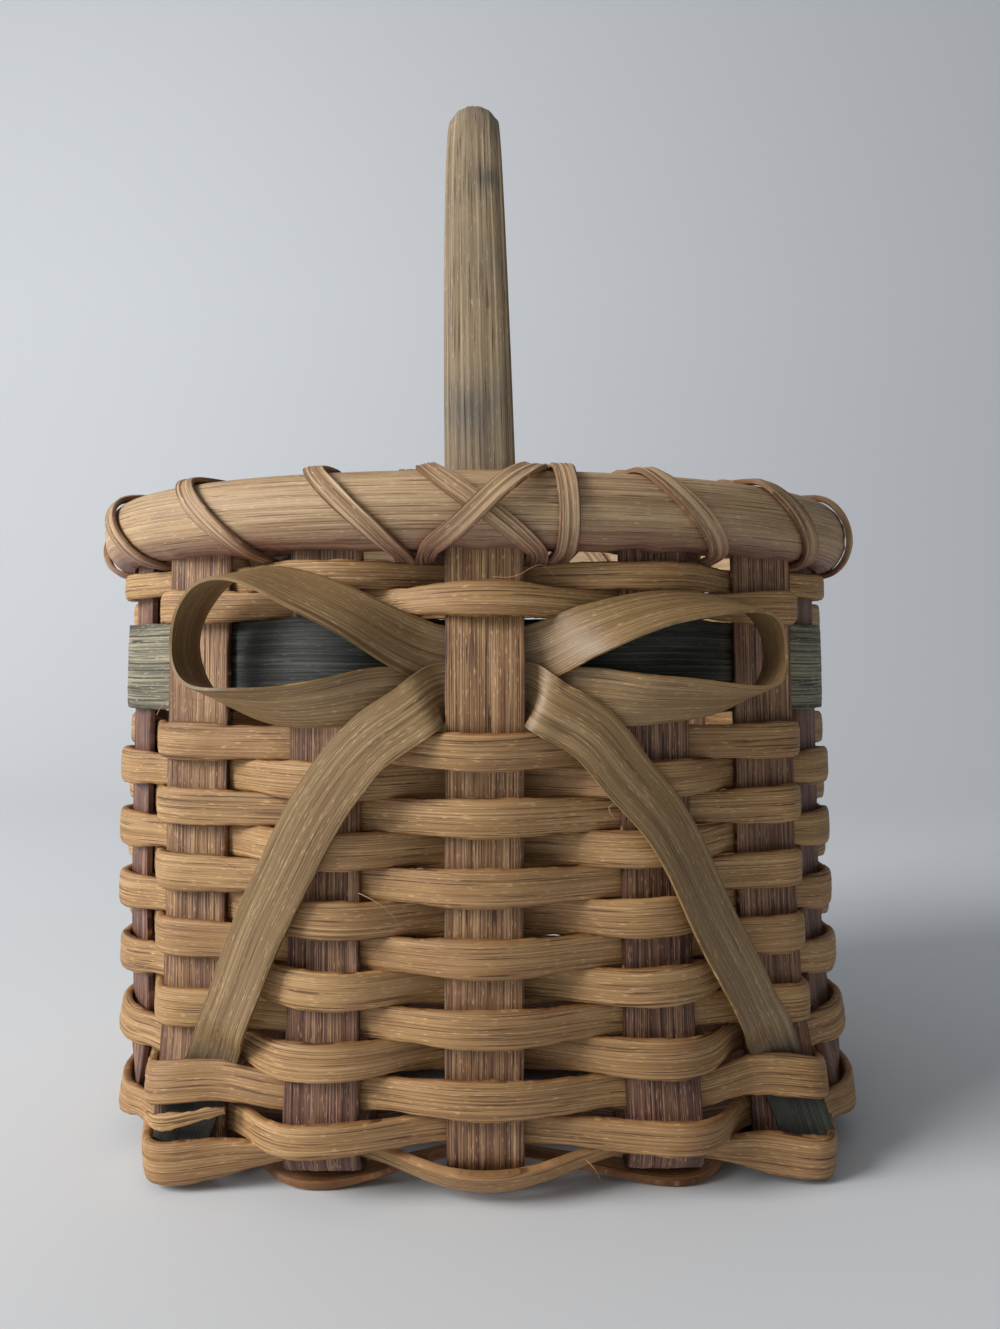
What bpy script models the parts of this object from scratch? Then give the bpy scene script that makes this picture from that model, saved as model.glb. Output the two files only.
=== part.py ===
"""Small splint basket with a fixed hoop handle and a flat-reed bow.

Units are metres and +Z is up. The front of the basket faces -Y.
The basket is woven as a real one is: eight flat strips cross on the base and
turn up as sixteen stakes, rings of reed weave round them, two bands clamp the
top edge, and one narrow strip lashes the bands together.
"""

import math

import bmesh
import bpy
from mathutils import Vector
from mathutils.kdtree import KDTree

# Reed stock
STAKE_WIDTH = 0.0127
STAKE_THICKNESS = 0.0014
WEAVER_WIDTH = 0.00635
WEAVER_THICKNESS = 0.0020
CROSSING_WIDTH = 0.0054
LOW_CROSSING_WIDTH = 0.0045
BAND_WIDTH = 0.0159
BAND_THICKNESS = 0.0012
TOP_ROW_WIDTH = 0.0046
SECOND_ROW_WIDTH = 0.0056
TOP_CROSSING_WIDTH = 0.0044
RIBBON_WIDTH = 0.0095
RIBBON_THICKNESS = 0.0008

# Body, measured on the middle surface of the stakes
BODY_HALF_WIDTH_RIM = 0.0702
BODY_FLARE = 0.0030
BODY_HALF_DEPTH = 0.0570
TURN_RADIUS = 0.0085
TWIST_LENGTH = 0.0320
CORNER_DROP = 0.0028
CORNER_DROP_HEIGHT = 0.0380
CORNER_ROUNDING_HEIGHT = 0.0240
CORNER_SQUARENESS_BASE = 2.6
CORNER_SQUARENESS_RIM = 2.1
FOOT_FLAT_DEPTH = 0.0004

# Rows, counted from the rim down
ROW_COUNT = 17
BAND_ROW = 3
FIRST_ROW_RISE = 0.0017
ROW_GAP = 0.0003
BAND_STEP = 0.0024

# Rim bands
RIM_HEIGHT = 0.0126
RIM_OUTER_SEAT = 0.0016
RIM_OUTER_THICKNESS = 0.0056
RIM_INNER_THICKNESS = 0.0030
STAKE_END_BELOW_RIM = 0.0018

# Rim lashing
LASHING_WIDTH = 0.0034
LASHING_THICKNESS = 0.0009
LASHING_LEAD = 0.0135
LASHING_SEAT = 0.0005
LASHING_LIFT = 0.0020
LASHING_GAP = 0.0008
LASHING_END_TRIM = 0.0040
LEG_BEND = 0.0105

# Handle hoop
HOOP_WIDTH = 0.0118
HOOP_TIP_WIDTH = 0.0095
HOOP_THICKNESS = 0.0035
HOOP_CHAMFER = 0.0011
HOOP_CORNER_RADIUS = 0.0180
HOOP_ARCH_RISE = 0.0863
HOOP_SIDE_SHIFT = 0.0008
HOOP_SIDE_LEAN = 0.0021
HOOP_PASS_ROOM = 0.0004

# Bow
BOW_HEIGHT = 0.0868
BOW_PILLOW = 0.0039
BOW_PILLOW_HALF_LENGTH = 0.0200
BOW_PILLOW_BELOW = 0.0015
LOOP_REACH = 0.0500
LOOP_HEIGHT = 0.0200
LOOP_STAND_OFF = 0.0038
TAIL_REACH = 0.0500
TAIL_DROP = 0.0760
TAIL_STAND_OFF = 0.0050
TUCK_OVERHANG = 0.0030

# Clearances
CLEARANCE = 0.0003
TWIST_ROOM = 0.0004
TUCK_ROOM = 0.0010
END_GAP = 0.0006

# Places of the stakes, as shares of the body's half width or half depth
FRONT_STAKE_SHARES = (-0.680, -0.338, 0.035, 0.435, 0.735)
SIDE_STAKE_SHARES = (-0.474, 0.0, 0.474)
HOOP_STAKE = 2
CORNER_REACH_SHARE = 0.56
LIFT_FADE_SHARE = 1 / 3
TUCK_ROW = ROW_COUNT - 3

# Numbers of the stakes behind which the rows end, taken in turn
EVEN_ROW_ENDS = (9, 11, 13)
ODD_ROW_ENDS = (8, 12)

# Counts of stations along a curve
TURN_STEPS = 5
TWIST_STEPS = 6
WALL_STEPS = 6
PILLOW_STEPS = 5
ARCH_STEPS = 24
HOOP_CORNER_STEPS = 5
RIM_MEASURE_STEPS = 2880
RIM_RINGS_A_GAP = 4
PROBE_SHARE = 0.005
NEIGHBOUR_MARGIN = 1.1
BEND_MARGIN = 1.2

# Colours, as linear red, green and blue
STAKE_COLOUR = (0.30, 0.17, 0.09, 1.0)
WEAVER_COLOUR = (0.42, 0.27, 0.11, 1.0)
BAND_COLOUR = (0.05, 0.06, 0.04, 1.0)
RIM_COLOUR = (0.47, 0.30, 0.15, 1.0)
LASHING_COLOUR = (0.36, 0.22, 0.10, 1.0)
HANDLE_COLOUR = (0.25, 0.19, 0.12, 1.0)
RIBBON_COLOUR = (0.17, 0.12, 0.06, 1.0)

# Sizes that follow from those above
BODY_HALF_WIDTH_BASE = BODY_HALF_WIDTH_RIM + BODY_FLARE
TURN_LENGTH = TURN_RADIUS * math.pi / 2
LAYER = STAKE_THICKNESS / 2 + CLEARANCE / 2
BASE_MIDDLE = CORNER_DROP + LAYER + STAKE_THICKNESS / 2
TURN_CROSSING_WIDTH = 2 * (
    (TURN_RADIUS - WEAVER_THICKNESS / 2)
    * math.tan((CROSSING_WIDTH + ROW_GAP) / (2 * TURN_RADIUS))
    - 3 * CLEARANCE
)
HOOP_SEAT = STAKE_THICKNESS / 2 + CLEARANCE + HOOP_THICKNESS / 2


def new_material(name, colour, roughness):
    material = bpy.data.materials.new(name)
    material.use_nodes = True
    shader = material.node_tree.nodes["Principled BSDF"]
    shader.inputs["Base Color"].default_value = colour
    shader.inputs["Roughness"].default_value = roughness
    shader.inputs["Metallic"].default_value = 0.0
    return material


def smooth_step(value):
    value = min(max(value, 0.0), 1.0)
    return value * value * (3 - 2 * value)


def row_places():
    """Place of each row's middle, along the stake from where it leaves the base."""
    places = {}
    place = FIRST_ROW_RISE
    for row in range(ROW_COUNT, BAND_ROW, -1):
        places[row] = place
        place += CROSSING_WIDTH + ROW_GAP
    place = places[BAND_ROW + 1] + CROSSING_WIDTH / 2 + BAND_STEP + BAND_WIDTH / 2
    places[BAND_ROW] = place
    place += BAND_WIDTH / 2 + ROW_GAP + TOP_CROSSING_WIDTH / 2
    for row in range(BAND_ROW - 1, 0, -1):
        places[row] = place
        place += TOP_CROSSING_WIDTH + ROW_GAP
    return places


ROW_PLACES = row_places()
RIM_PLACE = (
    ROW_PLACES[1] + TOP_ROW_WIDTH / 2 + CLEARANCE + LASHING_THICKNESS + LASHING_SEAT
)
RIM_BOTTOM = BASE_MIDDLE + TURN_RADIUS + RIM_PLACE - TURN_LENGTH
RIM_TOP = RIM_BOTTOM + RIM_HEIGHT


def row_thickness(row):
    return BAND_THICKNESS if row == BAND_ROW else WEAVER_THICKNESS


def row_on_turn(row):
    return ROW_PLACES[row] - WEAVER_WIDTH / 2 < TURN_LENGTH


def row_widths(row):
    """Width over a stake, and width where the row crosses its neighbours."""
    if row == BAND_ROW:
        return BAND_WIDTH, BAND_WIDTH
    if row == 1:
        return TOP_ROW_WIDTH, TOP_CROSSING_WIDTH
    if row == 2:
        return SECOND_ROW_WIDTH, TOP_CROSSING_WIDTH
    if row_on_turn(row):
        return CROSSING_WIDTH, TURN_CROSSING_WIDTH
    if ROW_PLACES[row] - WEAVER_WIDTH < CORNER_ROUNDING_HEIGHT:
        return WEAVER_WIDTH, LOW_CROSSING_WIDTH
    return WEAVER_WIDTH, CROSSING_WIDTH


# The body's surface


def body_share(height):
    return min(max((height - BASE_MIDDLE) / (RIM_TOP - BASE_MIDDLE), 0.0), 1.0)


def half_width(height):
    share = body_share(height)
    return BODY_HALF_WIDTH_BASE + (BODY_HALF_WIDTH_RIM - BODY_HALF_WIDTH_BASE) * share


def squareness(height):
    share = smooth_step((height - BASE_MIDDLE) / CORNER_ROUNDING_HEIGHT)
    return CORNER_SQUARENESS_BASE + (CORNER_SQUARENESS_RIM - CORNER_SQUARENESS_BASE) * share


def turn_state(place):
    """Height, inset and tilt of the surface at a place along a stake."""
    if place >= TURN_LENGTH:
        return BASE_MIDDLE + TURN_RADIUS + place - TURN_LENGTH, 0.0, math.pi / 2
    tilt = place / TURN_RADIUS
    height = BASE_MIDDLE + TURN_RADIUS * (1 - math.cos(tilt))
    return height, TURN_RADIUS * (1 - math.sin(tilt)), tilt


def curve_other(along, half_along, half_other, power):
    """The other coordinate of a superellipse where one coordinate is given."""
    rest = 1 - min(abs(along) / half_along, 1.0) ** power
    return half_other * rest ** (1 / power)


def plan_normal(x, y, half_x, half_y, power):
    return Vector(
        (
            math.copysign((abs(x) / half_x) ** (power - 1) / half_x, x),
            math.copysign((abs(y) / half_y) ** (power - 1) / half_y, y),
            0.0,
        )
    ).normalized()


def pillow(height):
    """How far the centre front stake stands out where the bow passes behind it."""
    away = abs(height - (BOW_HEIGHT - BOW_PILLOW_BELOW)) / BOW_PILLOW_HALF_LENGTH
    if away >= 1:
        return 0.0
    return BOW_PILLOW * math.cos(away * math.pi / 2) ** 2


def stake_list():
    """The sixteen stake ends, counter-clockwise from the front left."""
    front = [("front", index, -1) for index in range(len(FRONT_STAKE_SHARES))]
    right = [("side", index, 1) for index in range(len(SIDE_STAKE_SHARES))]
    back = [("front", index, 1) for index in reversed(range(len(FRONT_STAKE_SHARES)))]
    left = [("side", index, -1) for index in reversed(range(len(SIDE_STAKE_SHARES)))]
    return front + right + back + left


STAKES = stake_list()
BOW_STAKE = ("front", HOOP_STAKE, -1)


def base_lift(kind, front_index, side_index):
    """Which of two crossing base strips lies on top, as a height from the middle."""
    sign = 1 if (front_index + side_index) % 2 else -1
    return LAYER * (sign if kind == "front" else -sign)


def stake_surface(stake, place):
    kind, index, end = stake
    height, inset, tilt = turn_state(place)
    half_x = half_width(height) - inset
    half_y = BODY_HALF_DEPTH - inset
    power = squareness(height)
    if kind == "front":
        x = FRONT_STAKE_SHARES[index] * BODY_HALF_WIDTH_RIM
        y = end * curve_other(x, half_x, half_y, power)
    else:
        y = SIDE_STAKE_SHARES[index] * BODY_HALF_DEPTH
        x = end * curve_other(y, half_y, half_x, power)
    straight = Vector((0, end, 0)) if kind == "front" else Vector((end, 0, 0))
    twisted = smooth_step(place / (TURN_LENGTH + TWIST_LENGTH))
    facing = straight.lerp(plan_normal(x, y, half_x, half_y, power), twisted).normalized()
    normal = facing * math.sin(tilt) - Vector((0, 0, math.cos(tilt)))
    return Vector((x, y, height)), normal.normalized()


def stake_shift(stake, place, pillowed):
    """How far a stake's middle lies outside the body's surface."""
    kind, index, end = stake
    shift = pillow(turn_state(place)[0]) if pillowed and stake == BOW_STAKE else 0.0
    crossing = SIDE_STAKE_SHARES if kind == "front" else FRONT_STAKE_SHARES
    last = 0 if end < 0 else len(crossing) - 1
    lift = base_lift(kind, index, last) if kind == "front" else base_lift(kind, last, index)
    return shift - lift * max(0.0, 1 - place / (TURN_LENGTH * LIFT_FADE_SHARE))


def stake_frame(stake, place, pillowed=True):
    """Middle of the stake there, with its across, outward and upward directions."""
    step = TURN_LENGTH * PROBE_SHARE
    near = []
    for at in (place - step, place, place + step):
        point, normal = stake_surface(stake, at)
        near.append((point + normal * stake_shift(stake, at, pillowed), normal))
    up = (near[2][0] - near[0][0]).normalized()
    across = up.cross(near[1][1]).normalized()
    return near[1][0], across, across.cross(up).normalized(), up


def settled(point):
    """Lets the base droop to the floor at its four corners."""
    if point.z > BASE_MIDDLE + CORNER_DROP_HEIGHT:
        return point
    reach = BODY_HALF_WIDTH_BASE * BODY_HALF_DEPTH * CORNER_REACH_SHARE
    corner = (point.x * point.y / reach) ** 2
    corner = 2 * corner / (1 + corner)
    fall = 0.5 + 0.5 * math.cos(
        math.pi * max(point.z - BASE_MIDDLE, 0.0) / CORNER_DROP_HEIGHT
    )
    return point - Vector((0, 0, CORNER_DROP * corner * fall))


# Mesh helpers


def add_object(name, bm, material):
    for vertex in bm.verts:
        vertex.co = settled(vertex.co)
    mesh = bpy.data.meshes.new(name)
    bm.to_mesh(mesh)
    bm.free()
    mesh.materials.append(material)
    made = bpy.data.objects.new(name, mesh)
    basket.objects.link(made)
    return made


def strip(name, stations, thickness, material):
    """A flat strip: an open ribbon through (centre, half vector across) pairs, made solid."""
    bm = bmesh.new()
    edges = [(bm.verts.new(c - half), bm.verts.new(c + half)) for c, half in stations]
    for (low, high), (next_low, next_high) in zip(edges, edges[1:]):
        bm.faces.new((low, next_low, next_high, high))
    made = add_object(name, bm, material)
    solid = made.modifiers.new("thickness", "SOLIDIFY")
    solid.thickness = thickness
    solid.offset = 0.0
    return made


def loft(name, rings, material):
    """A closed hoop through rings of points that have the same count."""
    bm = bmesh.new()
    rows = [[bm.verts.new(point) for point in ring] for ring in rings]
    for row, following in zip(rows, rows[1:] + rows[:1]):
        for index in range(len(row)):
            after = (index + 1) % len(row)
            bm.faces.new((row[index], row[after], following[after], following[index]))
    bmesh.ops.recalc_face_normals(bm, faces=bm.faces)
    return add_object(name, bm, material)


# Stakes and base


def wall_places(stake):
    """Places up a stake where its strip has a station."""
    top = RIM_PLACE + RIM_HEIGHT - STAKE_END_BELOW_RIM
    twisted = TURN_LENGTH + TWIST_LENGTH
    places = [TURN_LENGTH * step / TURN_STEPS for step in range(1, TURN_STEPS + 1)]
    places += [TURN_LENGTH + TWIST_LENGTH * step / TWIST_STEPS for step in range(1, TWIST_STEPS + 1)]
    places += [twisted + (top - twisted) * step / WALL_STEPS for step in range(1, WALL_STEPS + 1)]
    if stake == BOW_STAKE:
        middle = BOW_HEIGHT - BOW_PILLOW_BELOW - BASE_MIDDLE - TURN_RADIUS + TURN_LENGTH
        spread = BOW_PILLOW_HALF_LENGTH
        places = [p for p in places if abs(p - middle) > spread * NEIGHBOUR_MARGIN]
        for step in range(-PILLOW_STEPS, PILLOW_STEPS + 1):
            places.append(middle + spread * step / PILLOW_STEPS)
    return sorted(places)


def base_points(kind, index):
    """Stations of a strip across the base, over and under the strips that cross it."""
    crossing = FRONT_STAKE_SHARES if kind == "side" else SIDE_STAKE_SHARES
    half_other = BODY_HALF_WIDTH_RIM if kind == "side" else BODY_HALF_DEPTH
    reach = STAKE_WIDTH / 2 + 2 * CLEARANCE
    points = []
    for number, share in enumerate(crossing):
        lift = base_lift(kind, number, index) if kind == "side" else base_lift(kind, index, number)
        for side in (-1, 1):
            points.append((share * half_other + side * reach, lift))
    return points


def stake_strip(name, kind, index):
    stations = []
    for end in (-1, 1):
        stake = (kind, index, end)
        frames = [stake_frame(stake, place) for place in wall_places(stake)]
        side = [(centre, across * (STAKE_WIDTH / 2)) for centre, across, _, _ in frames]
        if end < 0:
            stations += reversed(side)
            for along, lift in base_points(kind, index):
                if kind == "front":
                    x = FRONT_STAKE_SHARES[index] * BODY_HALF_WIDTH_RIM
                    centre = Vector((x, along, BASE_MIDDLE + lift))
                    half = Vector((STAKE_WIDTH / 2, 0, 0))
                else:
                    y = SIDE_STAKE_SHARES[index] * BODY_HALF_DEPTH
                    centre = Vector((along, y, BASE_MIDDLE + lift))
                    half = Vector((0, -STAKE_WIDTH / 2, 0))
                stations.append((centre, half))
        else:
            stations += [(centre, -half) for centre, half in side]
    return strip(name, stations, STAKE_THICKNESS, stake_material)


# Handle hoop

HOOP_BASE = BASE_MIDDLE + LAYER + STAKE_THICKNESS / 2 + CLEARANCE + HOOP_THICKNESS / 2
HOOP_CORNER_HEIGHT = HOOP_BASE + HOOP_CORNER_RADIUS
HOOP_HALF_DEPTH = BODY_HALF_DEPTH - HOOP_SEAT
HOOP_ARCH_START = RIM_TOP


def hoop_reach(height, side):
    """How far inside the stake the hoop's outer (-1), middle (0) or inner (1) face lies."""
    radius = HOOP_CORNER_RADIUS - side * HOOP_THICKNESS / 2
    if height >= HOOP_CORNER_HEIGHT:
        return HOOP_SEAT + side * HOOP_THICKNESS / 2
    below = min(HOOP_CORNER_HEIGHT - height, radius)
    return HOOP_SEAT + HOOP_CORNER_RADIUS - math.sqrt(radius**2 - below**2)


def hoop_x(height):
    foot = FRONT_STAKE_SHARES[HOOP_STAKE] * BODY_HALF_WIDTH_RIM - HOOP_SIDE_SHIFT
    return foot - HOOP_SIDE_LEAN * max((height - HOOP_ARCH_START) / HOOP_ARCH_RISE, 0.0)


def hoop_path():
    """Points and outward directions round the hoop, in the plane of Y and Z."""
    path = []
    rise = HOOP_ARCH_RISE - HOOP_THICKNESS / 2
    for step in range(ARCH_STEPS + 1):
        angle = math.pi * step / ARCH_STEPS
        y, z = -HOOP_HALF_DEPTH * math.cos(angle), rise * math.sin(angle)
        outward = Vector((0, y / HOOP_HALF_DEPTH**2, z / rise**2)).normalized()
        path.append((y, HOOP_ARCH_START + z, outward))
    for end in (1, -1):
        corner = []
        for step in range(HOOP_CORNER_STEPS + 1):
            angle = math.pi / 2 * step / HOOP_CORNER_STEPS
            outward = Vector((0, end * math.cos(angle), -math.sin(angle)))
            y = end * (HOOP_HALF_DEPTH - HOOP_CORNER_RADIUS) + outward.y * HOOP_CORNER_RADIUS
            corner.append((y, HOOP_CORNER_HEIGHT + outward.z * HOOP_CORNER_RADIUS, outward))
        path += corner if end > 0 else reversed(corner)
    return path


def handle_hoop():
    rings = []
    half_thick = HOOP_THICKNESS / 2
    for y, z, outward in hoop_path():
        share = max(0.0, (z - HOOP_ARCH_START) / HOOP_ARCH_RISE)
        half = (HOOP_WIDTH + (HOOP_TIP_WIDTH - HOOP_WIDTH) * share) / 2
        centre = Vector((hoop_x(z), y, z))
        section = (
            (-half, -half_thick),
            (half, -half_thick),
            (half, half_thick - HOOP_CHAMFER),
            (half - HOOP_CHAMFER, half_thick),
            (-half + HOOP_CHAMFER, half_thick),
            (-half, half_thick - HOOP_CHAMFER),
        )
        rings.append([centre + Vector((side, 0, 0)) + outward * out for side, out in section])
    return loft("handle_hoop", rings, handle_material)


# Woven rows


def row_offset(row, stake, outside):
    """Distance of the row's middle from the stake's middle surface, outward."""
    half = row_thickness(row) / 2
    wide, place = row_widths(row)[0], ROW_PLACES[row]
    height = turn_state(place)[0]
    seat = STAKE_THICKNESS / 2 + CLEARANCE
    if place < TURN_LENGTH + TWIST_LENGTH:
        seat += TWIST_ROOM
    if outside:
        if tail_under(row, stake):
            seat += RIBBON_THICKNESS + TUCK_ROOM
        return seat + half
    if stake[:2] == ("front", HOOP_STAKE):
        room = hoop_reach(height + wide / 2, -1) - seat - 2 * half
        if room < HOOP_PASS_ROOM:
            return -hoop_reach(height - wide / 2, 1) - CLEARANCE - half
    if row_on_turn(row):
        hollow = TURN_RADIUS - seat
        seat = TURN_RADIUS - math.sqrt(hollow**2 - (wide / 2) ** 2) + CLEARANCE / 2
    if place < TURN_LENGTH * LIFT_FADE_SHARE:
        seat += LAYER / 2
    return -seat - half


def tail_under(row, stake):
    """One low row over the outer front stakes holds the ends of the bow's tails."""
    kind, index, end = stake
    outer = kind == "front" and end < 0 and index in (0, len(FRONT_STAKE_SHARES) - 1)
    return outer and row == TUCK_ROW


def row_stations(row):
    wide, narrow = row_widths(row)
    place = ROW_PLACES[row]
    count = len(STAKES)
    ends = ODD_ROW_ENDS if row % 2 else EVEN_ROW_ENDS
    start = ends[row // 2 % len(ends)]
    reach = STAKE_WIDTH / 2 + CLEARANCE
    stations = []
    for number in range(start, start + count):
        stake = STAKES[number % count]
        outside = (number % count + row) % 2 == 0
        centre, across, outward, up = stake_frame(stake, place, outside)
        offset = row_offset(row, stake, outside)
        before, after = reach, reach
        if tail_under(row, stake):
            after += TUCK_OVERHANG
        spots = [(-before, narrow), (0.0, wide), (after, narrow)]
        low, high = [stake_frame(stake, place + side * wide / 2, outside) for side in (-1, 1)]
        for along, width in spots:
            point = centre + across * along + outward * offset
            rise = up
            if place > wide / 2:
                rise = high[0] - low[0] + (high[1] - low[1]) * along + (high[2] - low[2]) * offset
            stations.append((point, rise.normalized() * (width / 2), across, number))
    first = stations[1]
    opening = [(first[0] + first[2] * (END_GAP / 2), first[1])]
    closing = [(stations[0][0], stations[0][1]), (first[0] - first[2] * (END_GAP / 2), first[1])]
    middle = [(point, half) for point, half, _, _ in stations[2:]]
    return opening + middle + closing


def woven_row(row):
    name = "green_band" if row == BAND_ROW else f"weaver_row_{row:02d}"
    material = band_material if row == BAND_ROW else weaver_material
    return strip(name, row_stations(row), row_thickness(row), material)


# Rim


def rim_curve():
    """Stations round the rim: point on the stakes' middle surface, outward direction, arc length."""
    height = RIM_BOTTOM + RIM_HEIGHT / 2
    half_x, half_y, power = half_width(height), BODY_HALF_DEPTH, squareness(height)
    points = []
    for step in range(RIM_MEASURE_STEPS + 1):
        angle = 2 * math.pi * step / RIM_MEASURE_STEPS - math.pi / 2
        x = math.copysign(half_x * abs(math.cos(angle)) ** (2 / power), math.cos(angle))
        y = math.copysign(half_y * abs(math.sin(angle)) ** (2 / power), math.sin(angle))
        points.append(Vector((x, y, 0)))
    lengths = [0.0]
    for a, b in zip(points, points[1:]):
        lengths.append(lengths[-1] + (b - a).length)
    return points, lengths, (half_x, half_y, power)


RIM_POINTS, RIM_LENGTHS, RIM_SHAPE = rim_curve()
RIM_ROUND = RIM_LENGTHS[-1]


def rim_at(arc):
    """Point, tangent and outward normal at an arc length from the middle of the front."""
    arc %= RIM_ROUND
    low, high = 0, len(RIM_LENGTHS) - 1
    while high - low > 1:
        middle = (low + high) // 2
        if RIM_LENGTHS[middle] <= arc:
            low = middle
        else:
            high = middle
    share = (arc - RIM_LENGTHS[low]) / (RIM_LENGTHS[high] - RIM_LENGTHS[low])
    point = RIM_POINTS[low].lerp(RIM_POINTS[high], share)
    normal = plan_normal(point.x, point.y, *RIM_SHAPE)
    return point, Vector((0, 0, 1)).cross(normal), normal


def stake_arcs():
    """Arc length of each stake at the rim, rising from the centre front stake."""
    height = RIM_BOTTOM + RIM_HEIGHT / 2
    place = RIM_PLACE + RIM_HEIGHT / 2
    arcs = []
    for stake in STAKES:
        target = stake_surface(stake, place)[0]
        best = min(
            range(len(RIM_POINTS) - 1),
            key=lambda step: (RIM_POINTS[step] - Vector((target.x, target.y, 0))).length,
        )
        arcs.append(RIM_LENGTHS[best])
    arcs = arcs[HOOP_STAKE:] + arcs[:HOOP_STAKE]
    return [arc if arc >= arcs[0] else arc + RIM_ROUND for arc in arcs]


STAKE_ARCS = stake_arcs()
HOOP_ARCS = (
    STAKE_ARCS[0] - HOOP_SIDE_SHIFT,
    STAKE_ARCS[len(STAKES) // 2] + HOOP_SIDE_SHIFT,
)
RIM_INNER_SEAT = STAKE_THICKNESS / 2 + 2 * CLEARANCE
LEG_BEND_START = HOOP_WIDTH / 2 + 2 * CLEARANCE


def leg_distance(arc):
    """Length along the rim from an arc to the nearer leg of the hoop."""
    half_round = RIM_ROUND / 2
    return min(abs((arc - leg + half_round) % RIM_ROUND - half_round) for leg in HOOP_ARCS)


def inner_seat(arc):
    """Where the inner band's outer face lies: it bends in round the hoop's legs."""
    over = HOOP_SEAT + HOOP_THICKNESS / 2 + CLEARANCE - RIM_INNER_SEAT
    bend = 1 - (leg_distance(arc) - LEG_BEND_START) / LEG_BEND
    return RIM_INNER_SEAT + over * min(max(bend, 0.0), 1.0)


def rim_arcs():
    """Arcs of the bands' rings: quarters of the stake gaps, and where a band bends in."""
    bends = [
        leg + side * reach
        for leg in HOOP_ARCS
        for side in (-1, 1)
        for reach in (LEG_BEND_START, LEG_BEND_START + LEG_BEND)
    ]
    arcs = []
    for here, there in zip(STAKE_ARCS, STAKE_ARCS[1:] + [STAKE_ARCS[0] + RIM_ROUND]):
        for number in range(RIM_RINGS_A_GAP):
            arc = here + (there - here) * number / RIM_RINGS_A_GAP
            if number == 0 or leg_distance(arc) > LEG_BEND_START + LEG_BEND * BEND_MARGIN:
                arcs.append(arc)
    return sorted(arcs + [arc % RIM_ROUND for arc in bends])


def rim_band(name, section, seat, side, material):
    rings = []
    middle = RIM_BOTTOM + RIM_HEIGHT / 2
    for arc in rim_arcs():
        point, _, normal = rim_at(arc)
        ring = []
        for out, rise in section:
            spot = point + normal * (side * (seat(arc) + out))
            ring.append(Vector((spot.x, spot.y, middle + rise)))
        rings.append(ring)
    return loft(name, rings, material)


HALF_ROUND_SHARES = ((0, -0.5), (0.45, -0.45), (0.85, -0.27), (1, 0), (0.85, 0.27), (0.45, 0.45), (0, 0.5))
FLAT_OVAL_SHARES = ((0, -0.5), (0.75, -0.5), (1, -0.36), (1, 0.36), (0.75, 0.5), (0, 0.5))


def section_of(shares, thickness):
    return [(out * thickness, rise * RIM_HEIGHT) for out, rise in shares]


def rim_outer():
    section = section_of(HALF_ROUND_SHARES, RIM_OUTER_THICKNESS)
    return rim_band("rim_outer", section, lambda arc: RIM_OUTER_SEAT, 1, rim_material)


def rim_inner():
    section = section_of(FLAT_OVAL_SHARES, RIM_INNER_THICKNESS)
    return rim_band("rim_inner", section, inner_seat, -1, rim_material)


# Rim lashing


def bundle_outline(arc):
    """Outline of the two bands at an arc, as (out, rise) points that go down the outside."""
    outside = [
        (RIM_OUTER_SEAT + out * RIM_OUTER_THICKNESS, rise * RIM_HEIGHT)
        for out, rise in reversed(HALF_ROUND_SHARES)
    ]
    room = LASHING_WIDTH / 2 + CLEARANCE
    seat = max(inner_seat(arc + side * room) for side in (-1, 0, 1))
    inside = [
        (-seat - out * RIM_INNER_THICKNESS, rise * RIM_HEIGHT)
        for out, rise in FLAT_OVAL_SHARES[1:-1]
    ]
    return [Vector(point) for point in outside[1:] + inside + outside[:1]]


def outline_push(outline, step):
    """Direction from an outline point that keeps an even distance to both its sides."""
    before, here, after = (outline[(step + k) % len(outline)] for k in (-1, 0, 1))
    sides = ((before, here), (here, after))
    normals = [Vector((a.y - b.y, b.x - a.x)).normalized() for a, b in sides]
    return (normals[0] + normals[1]) / (1 + normals[0].dot(normals[1]))


OUTSIDE_STEPS = 5
FACE_START, FACE_END = 7, 8
CLOSING_STEP = 10
INSIDE_SHARES = (0.05, 0.25, 0.75, 0.95)
INSIDE_RAISED_SHARES = (0.0, 0.12, 1.0, 1.0)
FACE_STEPS = 4


def wrap(top, bottom, next_top, raised_out, raised_in):
    """One turn: down the outside from top to bottom, then up the inside to the next top."""
    turn = []
    for step in range(OUTSIDE_STEPS):
        share = step / (OUTSIDE_STEPS - 1)
        raise_by = LASHING_LIFT if raised_out and 0 < step < OUTSIDE_STEPS - 1 else 0.0
        turn.append((top + (bottom - top) * share, step, raise_by))
    turn.append((bottom, OUTSIDE_STEPS, 0.0))
    shares = INSIDE_RAISED_SHARES if raised_in else INSIDE_SHARES
    lift = LASHING_LIFT if raised_in else 0.0
    run = next_top - bottom
    turn.append((bottom + run * shares[0], FACE_START - 1, 0.0))
    faces = FACE_STEPS if raised_in else 1
    for number in range(faces + 1):
        share = shares[1] + (shares[2] - shares[1]) * number / faces
        turn.append((bottom + run * share, FACE_START + number / faces, lift))
    turn.append((bottom + run * shares[3], FACE_END + 1, 0.0))
    turn.append((next_top, CLOSING_STEP, 0.0))
    return turn


LASHING_SHIFT_SHARES = {1: -0.22, 2: -0.22, 3: 0.0, 13: 0.22, 14: 0.18}


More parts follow.
